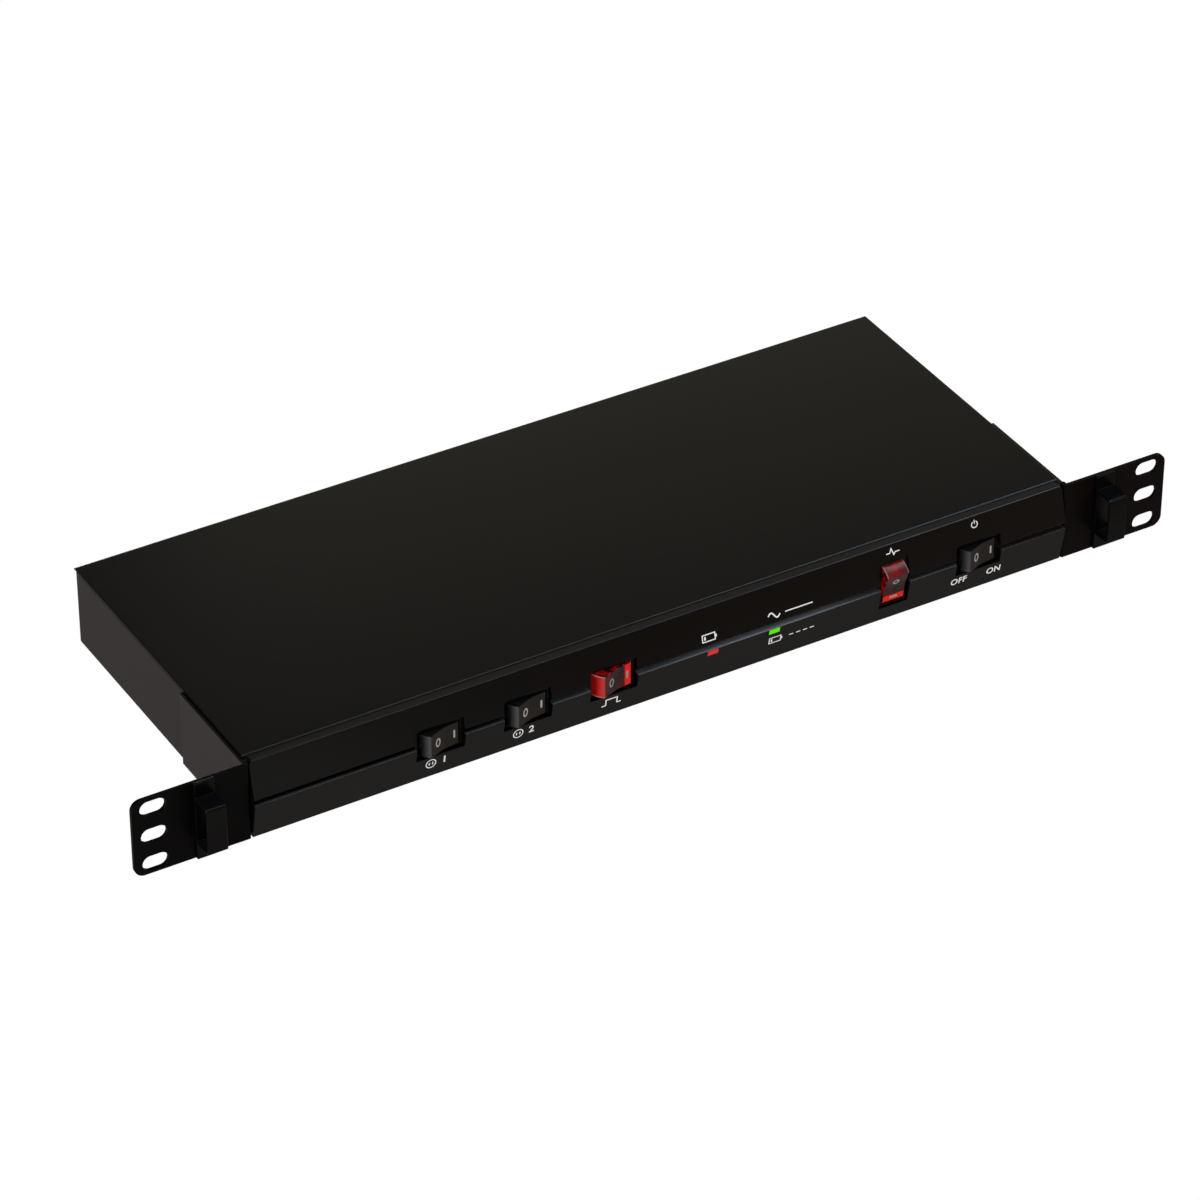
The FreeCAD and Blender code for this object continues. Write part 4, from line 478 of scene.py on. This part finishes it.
# Print and rocker marks glow a little though no lamp lights them: painted light.
PRINT_WHITE = moulded("print_white", paint(236, 236, 234), 0.5, 0.3, glow=0.5)
GLYPH_GREY = moulded("glyph_grey", paint(190, 187, 183), 0.5, 0.3, glow=0.25)
GLYPH_PALE = moulded("glyph_pale", paint(176, 176, 173), 0.45, 0.3, glow=0.2)


# Pieces with a finish of their own, not their slot's
OWN_FINISH = {"left_ear": "ear_black", "right_ear": "ear_black", "top_cover": "lid_black"}


def wear(thing, material):
    """Gives a thing its only material."""
    thing.data.materials.clear()
    thing.data.materials.append(material)


for name, upright in SWITCHES.items():
    wear(frame["nodes"][name + "_rocker"], rocker_finish(name, upright, name in LIT))
for entry in frame["record"]["subparts"]:
    node = entry["node"]
    if node.removesuffix("_rocker") not in SWITCHES:
        wear(frame["nodes"][node], FINISHES[OWN_FINISH.get(node, entry["material_slot"])])


def add(name, data):
    """Puts a mesh, text, lamp or camera in the scene."""
    thing = bpy.data.objects.new(name, data)
    bpy.context.scene.collection.objects.link(thing)
    return thing


def piece(name, mesh, body, material):
    """Puts a finished mesh in the scene on its body."""
    thing = add(name, mesh)
    wear(thing, material)
    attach(thing, body)
    return thing


# Raised print: how far it stands out, and half the width of a printed line
PRINT_HEIGHT = 0.025 * MM
LINE = 0.3 * MM


def print_mesh(name, outlines, place):
    """Closed thin plates from flat outlines in the place's x, y plane."""
    shape = bmesh.new()
    for outline in outlines:
        low = [shape.verts.new((u, v, -PRINT_HEIGHT)) for u, v in outline]
        high = [shape.verts.new((u, v, PRINT_HEIGHT)) for u, v in outline]
        count = len(outline)
        shape.faces.new(high)
        shape.faces.new(list(reversed(low)))
        for k in range(count):
            after = (k + 1) % count
            shape.faces.new((low[k], low[after], high[after], high[k]))
    bmesh.ops.recalc_face_normals(shape, faces=shape.faces)
    mesh = bpy.data.meshes.new(name)
    shape.to_mesh(mesh)
    shape.free()
    mesh.transform(place)
    return mesh


def bar(u0, u1, v0, v1):
    """Outline of an upright rectangle."""
    return [(u0, v0), (u1, v0), (u1, v1), (u0, v1)]


def stroke(points, width, closed=False):
    """Quads along a path, mitred where the path turns."""
    count = len(points)
    sides = []
    for k in range(count):
        here = Vector(points[k])
        before = Vector(points[(k - 1) % count]) if closed or k else None
        after = Vector(points[(k + 1) % count]) if closed or k < count - 1 else None
        back = (here - before).normalized() if before is not None else None
        ahead = (after - here).normalized() if after is not None else None
        first = back if back is not None else ahead
        second = ahead if ahead is not None else back
        middle_way = (first + second).normalized()
        across = Vector((-middle_way.y, middle_way.x))
        reach = width / 2 / max(0.4, across.dot(Vector((-first.y, first.x))))
        sides.append((here + across * reach, here - across * reach))
    quads = []
    for k in range(count if closed else count - 1):
        (a, b), (c, d) = sides[k], sides[(k + 1) % count]
        quads.append([tuple(a), tuple(b), tuple(d), tuple(c)])
    return quads


def arc(cx, cy, rx, ry, start, end, steps=20):
    """Points along an ellipse, angles in degrees."""
    angles = [math.radians(start + (end - start) * k / steps) for k in range(steps + 1)]
    return [(cx + rx * math.cos(angle), cy + ry * math.sin(angle)) for angle in angles]


def ring(rx, ry, width):
    return stroke(arc(0, 0, rx, ry, 0, 360, 28)[:-1], width, closed=True)


def lettering(name, text, height, place):
    """Bold capitals and digits, centred, as thin raised print."""
    curve = bpy.data.curves.new(name, "FONT")
    curve.body = text
    curve.size = height * 1.42
    curve.align_x = "CENTER"
    curve.align_y = "CENTER"
    curve.offset = height * 0.022
    curve.extrude = PRINT_HEIGHT
    curve.resolution_u = 4
    curve.space_character = 1.04
    holder = add(name + "_text", curve)
    mesh = bpy.data.meshes.new_from_object(holder.evaluated_get(bpy.context.evaluated_depsgraph_get()))
    bpy.data.objects.remove(holder)
    mesh.name = name
    mesh.transform(place)
    return mesh


# The bezel's two facets, either side of its groove: depth from the ears' front and height, head then foot
GROOVE_HEIGHT = 22 * MM
UPPER_FACET = (1.6 * MM, 43.7 * MM), (-2.9 * MM, 23.3 * MM)
LOWER_FACET = (-3.4 * MM, 20.6 * MM), (0.35 * MM, 0.2 * MM)


def facet_place(x, height):
    """Where print lies on the bezel: its x, y plane is the facet, its z faces out."""
    top, foot = UPPER_FACET if height > GROOVE_HEIGHT else LOWER_FACET
    share = (height - foot[1]) / (top[1] - foot[1])
    depth = ear_front + foot[0] + share * (top[0] - foot[0])
    up = Vector((0, top[0] - foot[0], top[1] - foot[1])).normalized()
    right = Vector((1, 0, 0))
    out = right.cross(up)
    place = Matrix((right, up, out)).transposed().to_4x4()
    place.translation = Vector((x, depth, height))
    return place


def print_outlines(name, x, height, outlines):
    """A sign on the bezel."""
    piece(name, print_mesh(name, outlines, facet_place(x, height)), "chassis", PRINT_WHITE)


def print_text(name, x, height, text, size):
    """A number or a word on the bezel."""
    piece(name, lettering(name, text, size, facet_place(x, height)), "chassis", PRINT_WHITE)


def scaled(outlines, size, shift=0.0):
    return [[(u * size + shift, v * size) for u, v in outline] for outline in outlines]


# Signs, each drawn at most two units high
OUTLET_SIGN = ring(0.95, 0.95, 0.19) + [bar(-0.43, -0.24, -0.32, 0.32), bar(0.24, 0.43, -0.32, 0.32)]
BATTERY_SIGN = (stroke([(-1.3, -0.68), (1.3, -0.68), (1.3, 0.68), (-1.3, 0.68)], 0.2, closed=True)
                + [bar(1.4, 1.65, -0.28, 0.28), bar(-0.95, -0.62, -0.34, 0.34)])
WAVE_SIGN = stroke([(t / 10 * 2.4 - 1.2, 0.55 * math.sin(t / 10 * 2 * math.pi)) for t in range(11)], 0.26)
POWER_SIGN = stroke(arc(0, -0.1, 0.8, 0.8, 122, 418), 0.24) + [bar(-0.12, 0.12, 0.05, 1.0)]
DETOUR_SIGN = (stroke([(-1.9, -0.6), (-1.1, -0.6)], 0.24) + stroke([(1.1, -0.6), (1.9, -0.6)], 0.24)
               + stroke([(-1.1, -0.6), (-1.1, 0.7), (1.1, 0.7), (1.1, -0.6)], 0.24))
PULSE_SIGN = stroke([(-1.9, -0.3), (-0.9, -0.3), (-0.45, 0.8), (0.2, -0.9), (0.65, -0.3), (1.9, -0.3)], 0.26)

# Half the height of a plain sign, the gap from a sign to its number, and the rows that the print stands in
SIGN = 1.9 * MM
NUMBER_GAP = 7.4 * MM
SWITCH_ROW = 8.6 * MM
UPPER_LAMP_ROW = 27.5 * MM
LOWER_LAMP_ROW = 12.5 * MM

for number, node in enumerate(("bank_one", "bank_two"), start=1):
    x = middle(node + "_switch_housing", 0) - 1.2 * MM
    outlet = scaled(OUTLET_SIGN, SIGN * 1.45, -NUMBER_GAP / 2)
    print_outlines("outlet_sign_%d" % number, x, SWITCH_ROW, outlet)
    print_text("outlet_number_%d" % number, x + NUMBER_GAP / 2, SWITCH_ROW, str(number), 4.3 * MM)
print_outlines("detour_sign", middle("bypass_switch_housing", 0) - 0.8 * MM, SWITCH_ROW,
               scaled(DETOUR_SIGN, SIGN * 1.5))

red_x, green_x = middle("red_lens", 0), middle("green_lens", 0)
line_x = green_x + 15 * MM
print_outlines("battery_sign_red", red_x - 1.5 * MM, UPPER_LAMP_ROW, scaled(BATTERY_SIGN, SIGN * 1.45))
print_outlines("wave_sign", green_x + 0.6 * MM, UPPER_LAMP_ROW, scaled(WAVE_SIGN, SIGN * 1.5))
print_outlines("steady_line", line_x, UPPER_LAMP_ROW, [bar(-8 * MM, 8 * MM, -LINE, LINE)])
print_outlines("battery_sign_green", green_x + 1.5 * MM, LOWER_LAMP_ROW, scaled(BATTERY_SIGN, SIGN * 1.35))
print_outlines("dashed_line", line_x, LOWER_LAMP_ROW,
               [bar((dash - 1.2) * MM, (dash + 1.2) * MM, -LINE, LINE) for dash in (-4, 0, 4, 8)])

print_outlines("pulse_sign", middle("test_switch_housing", 0), 39.5 * MM, scaled(PULSE_SIGN, SIGN * 1.1))
main_x = middle("main_switch_housing", 0)
print_outlines("power_sign", main_x - 1.4 * MM, 39.2 * MM, scaled(POWER_SIGN, SIGN * 1.15))
print_text("off_mark", main_x - 10.6 * MM, 8.9 * MM, "OFF", 3.8 * MM)
print_text("on_mark", main_x + 10.4 * MM, 8.4 * MM, "ON", 3.8 * MM)


def rocker_place(name, upright, run):
    """Where a mark lies on a rocker's face, from its middle towards the pressed end."""
    side = 1 if run > 0 else -1
    depth = -(FACE_OUT + abs(run) * math.tan(FACE_SLOPE))
    right = Vector((math.cos(FACE_SLOPE), -side * math.sin(FACE_SLOPE), 0))
    out = Vector((-side * math.sin(FACE_SLOPE), -math.cos(FACE_SLOPE), 0))
    local = Matrix((right, Vector((0, 0, 1)), out)).transposed().to_4x4()
    local.translation = Vector((run, depth, 0))
    turn = Matrix.Rotation(ROCKER_LEAN, 4, "Z")
    if upright:
        turn = Matrix.Rotation(math.radians(90), 4, "Y") @ turn
    centre = Vector((middle(name + "_switch_housing", 0), pivot_depth, switch_height))
    return Matrix.Translation(centre) @ turn @ local


for name, upright in SWITCHES.items():
    slot, material = ("rocker_red", GLYPH_PALE) if name in LIT else ("rocker_black", GLYPH_GREY)
    circle = ring(1.35 * MM, (1.4 if upright else 2.05) * MM, 0.85 * MM)
    line = [bar(-0.55 * MM, 0.55 * MM, -2.2 * MM, 2.2 * MM)]
    for word, run, outlines in (("off", -3.7 * MM, circle), ("on", 6.6 * MM, line)):
        mesh = print_mesh(name + "_" + word, outlines, rocker_place(name, upright, run))
        piece(name + "_" + word + "_mark", mesh, name + "_rocker", material)


# Screw heads with a cross recess and a cut thread, in place of the plain ones


def turned(shape, profile, steps):
    """A skin round the z axis through pairs of radius and height, open at both ends."""
    rings = []
    for radius, height in profile:
        angles = [2 * math.pi * k / steps for k in range(steps)]
        rings.append([shape.verts.new((radius * math.cos(a), radius * math.sin(a), height)) for a in angles])
    for low, high in zip(rings, rings[1:]):
        for k in range(steps):
            after = (k + 1) % steps
            shape.faces.new((low[k], low[after], high[after], high[k]))
    return rings


def screw_mesh(length):
    """One screw along +z, its seat at z = 0."""
    shape = bmesh.new()
    steps = 24
    radius, high, core, crest, pitch = 2.5 * MM, 1.75 * MM, 1.15 * MM, 1.42 * MM, 0.5 * MM
    head = [(radius, 0.0), (radius, 0.45 * high), (0.94 * radius, 0.72 * high), (0.8 * radius, 0.92 * high),
            (0.62 * radius, high)]
    rings = turned(shape, head, steps)
    thread = [(core, -length)]
    turns = int((length - 0.3 * MM) / pitch)
    for k in range(turns):
        foot = -length + 0.15 * MM + k * pitch
        thread += [(core, foot), (crest, foot + 0.4 * pitch), (crest, foot + 0.6 * pitch)]
    thread.append((core, 0.0))
    screw_rings = turned(shape, thread, steps)
    shape.faces.new(list(reversed(screw_rings[0])))
    for k in range(steps):
        after = (k + 1) % steps
        shape.faces.new((screw_rings[-1][k], screw_rings[-1][after], rings[0][after], rings[0][k]))

    # A cross recess in the crown
    arm, half, depth = 0.48 * radius, 0.13 * radius, 0.6 * high
    outline = []
    for quarter in range(4):
        turn = Matrix.Rotation(math.pi / 2 * quarter, 2)
        outline += [turn @ Vector(point) for point in ((half, half), (arm, half), (arm, -half))]
    outline = sorted({(round(u, 7), round(v, 7)) for u, v in outline}, key=lambda p: math.atan2(p[1], p[0]))
    top = [shape.verts.new((u, v, high)) for u, v in outline]
    low = [shape.verts.new((u * 0.8, v * 0.8, high - depth)) for u, v in outline]
    count = len(outline)
    rim = [shape.edges.new((top[k], top[(k + 1) % count])) for k in range(count)]
    shape.faces.new(low)
    for k in range(count):
        after = (k + 1) % count
        shape.faces.new((top[k], top[after], low[after], low[k]))
    border = [e for e in shape.edges if all(v in rings[-1] for v in e.verts)]
    bmesh.ops.triangle_fill(shape, use_beauty=True, edges=rim + border)
    bmesh.ops.recalc_face_normals(shape, faces=shape.faces)
    mesh = bpy.data.meshes.new("screw")
    shape.to_mesh(mesh)
    shape.free()
    return mesh


def solid_places(node):
    """Middle, front and back of every separate solid of a node."""
    shape = bmesh.new()
    shape.from_mesh(frame["nodes"][node].data)
    shape.transform(frame["nodes"][node].matrix_world)
    bmesh.ops.remove_doubles(shape, verts=shape.verts, dist=0.001 * MM)
    waiting = set(shape.verts)
    places = []
    while waiting:
        stack, island = [waiting.pop()], []
        while stack:
            vertex = stack.pop()
            island.append(vertex.co.copy())
            for edge in vertex.link_edges:
                other = edge.other_vert(vertex)
                if other in waiting:
                    waiting.remove(other)
                    stack.append(other)
        low = [min(point[k] for point in island) for k in range(3)]
        high = [max(point[k] for point in island) for k in range(3)]
        centre = [(a + b) / 2 for a, b in zip(low, high)]
        places.append((centre, low[1], high[1]))
    shape.free()
    return sorted(places, key=lambda entry: tuple(entry[0]))


# Thickness of a plain screw's head
HEAD_HIGH = 1.8 * MM

for node in ("handle_screws", "cover_screws", "inlet_screws", "fan_screws"):
    whole = bmesh.new()
    for centre, front, back in solid_places(node):
        mesh = screw_mesh(back - front - HEAD_HIGH)
        mesh.transform(Matrix.Rotation(math.radians(-90), 4, "X"))
        mesh.transform(Matrix.Translation((centre[0], back - HEAD_HIGH, centre[2])))
        whole.from_mesh(mesh)
    joined = bpy.data.meshes.new(node + "_cut")
    whole.to_mesh(joined)
    whole.free()
    screws = piece(node + "_cut", joined, "chassis", FINISHES["screw_black"])
    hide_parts(node)


# Floor, light and camera


def stand(name, corners, finish):
    """A flat four-sided sheet that isn't part of the object."""
    mesh = bpy.data.meshes.new(name)
    mesh.from_pydata(corners, [], [(0, 1, 2, 3)])
    sheet = add(name, mesh)
    wear(sheet, finish)


# How bright the floor looks in reflections: a white card under the part, a darker table beyond
CARD_NEAR = (0.26, 0.23, 0.225, 1.0)
CARD_LEFT = (0.31, 0.318, 0.304, 1.0)
CARD_FAR = (0.105, 0.075, 0.058, 1.0)
FLOOR_SEEN = (1.06, 1.06, 1.06, 1.0)
FLOOR_HALF = 6.0
FLOOR_HEIGHT = base_height - 0.1 * MM

ground = Finish("floor")
seen = ground.ray("Is Camera Ray")
mirrored = ground.ray("Is Glossy Ray")
passed = ground.ray("Is Transmission Ray")
beside = (ground.x - ear_tip).above(body_left - ground.x)
before = abs(ground.y - (rear_panel + ear_front) / 2) - (rear_panel - ear_front) / 2
away = beside.above(before)
table = ground.mix(ground.x.rise(-220 * MM, 10 * MM), CARD_LEFT, CARD_FAR)
card = ground.mix(away.rise(30 * MM, 75 * MM), CARD_NEAR, table)
matt = ground.node("ShaderNodeBsdfDiffuse", {}, {0: paint(224, 224, 224)})
glowing = ground.node("ShaderNodeEmission", {}, {0: ground.mix(seen, card, FLOOR_SEEN), 1: 1.0})
share = (seen * 0.93 + mirrored * 0.9 + passed * 0.5).clamp()
stand("floor", [(-FLOOR_HALF, -FLOOR_HALF, FLOOR_HEIGHT), (FLOOR_HALF, -FLOOR_HALF, FLOOR_HEIGHT),
                (FLOOR_HALF, FLOOR_HALF, FLOOR_HEIGHT), (-FLOOR_HALF, FLOOR_HALF, FLOOR_HEIGHT)],
      ground.close(ground.blend(share, matt, glowing)))

# A dim warm room, white where the camera looks past the floor
ROOM_COLOUR = (1.0, 0.95, 0.89, 1.0)
ROOM_LEVEL = 0.01

sky = Finish("studio", bpy.data.worlds)
room = sky.node("ShaderNodeBackground", {}, {0: ROOM_COLOUR, 1: ROOM_LEVEL})
backdrop = sky.node("ShaderNodeBackground", {}, {0: WHITE, 1: 1.0})
choice = sky.blend(sky.ray("Is Camera Ray"), room, backdrop)
bpy.context.scene.world = sky.close(choice, "ShaderNodeOutputWorld")

# A wall behind and to the right, bright at its foot, that the top cover mirrors and the camera sees through
WALL_LEFT, WALL_RIGHT, WALL_BACK = 0.47, 2.3, 1.6
WALL_FOOT, WALL_BRIGHT, WALL_TOP = 0.3, 0.45, 1.8
WALL_COLOUR = (0.66, 0.595, 0.515, 1.0)

wall = Finish("wall")
wall_tone = wall.mix(wall.z.rise(WALL_TOP, WALL_BRIGHT), NO_LIGHT, WALL_COLOUR)
wall_light = wall.node("ShaderNodeEmission", {}, {0: wall_tone, 1: 1.0})
clear = wall.node("ShaderNodeBsdfTransparent")
stand("wall", [(WALL_LEFT, WALL_BACK, WALL_FOOT), (WALL_RIGHT, WALL_BACK, WALL_FOOT),
               (WALL_RIGHT, WALL_BACK, WALL_TOP), (WALL_LEFT, WALL_BACK, WALL_TOP)],
      wall.close(wall.blend(wall.ray("Is Camera Ray"), wall_light, clear)))

# Soft boxes: name, direction from the front panel, distance, width, height, power, colour
BOXES = (
    ("overhead_box", (0.42, -0.14, 0.9), 2.4, 1.5, 0.7, 10.0, (0.84, 0.92, 1.0)),
    ("front_box", (0.7, -0.7, 0.25), 2.2, 1.0, 1.0, 4.6, (1.0, 0.84, 0.73)),
    ("left_box", (-0.9, -0.3, 0.35), 2.4, 1.6, 1.0, 25.0, (0.97, 1.0, 0.98)),
    ("rear_box", (0.1, 1.0, 0.08), 2.4, 0.8, 0.4, 6.0, (1.0, 1.0, 1.0)),
)
lit_place = Vector((0, ear_front, 20 * MM))
for name, direction, reach, width, height, power, colour in BOXES:
    light = bpy.data.lights.new(name, "AREA")
    light.color = colour
    light.shape = "RECTANGLE"
    light.size, light.size_y = width, height
    light.energy = power
    lamp = add(name, light)
    lamp.location = lit_place + Vector(direction).normalized() * reach
    lamp.rotation_euler = (lit_place - lamp.location).to_track_quat("-Z", "Y").to_euler()

# The camera stands where the photograph was taken from, relative to the ears' front
CAMERA_PLACE = Vector((-1117.41, -1831.03, 1563.46)) * MM
CAMERA_TURN = Vector((0.93439781, -0.25528901, -0.48843969))
FOCAL_PIXELS = 5422.33
FRAME_PIXELS = 1200
SENSOR_WIDTH = 36.0

optics = bpy.data.cameras.new("camera")
optics.sensor_width = SENSOR_WIDTH
optics.lens = FOCAL_PIXELS / FRAME_PIXELS * SENSOR_WIDTH
optics.clip_end = 50
camera = add("camera", optics)
turn = Matrix.Rotation(CAMERA_TURN.length, 4, CAMERA_TURN.normalized())
camera.matrix_world = Matrix.Translation(CAMERA_PLACE + Vector((0, ear_front, 0))) @ turn
bpy.context.scene.camera = camera

bpy.context.scene.view_settings.view_transform = "Standard"
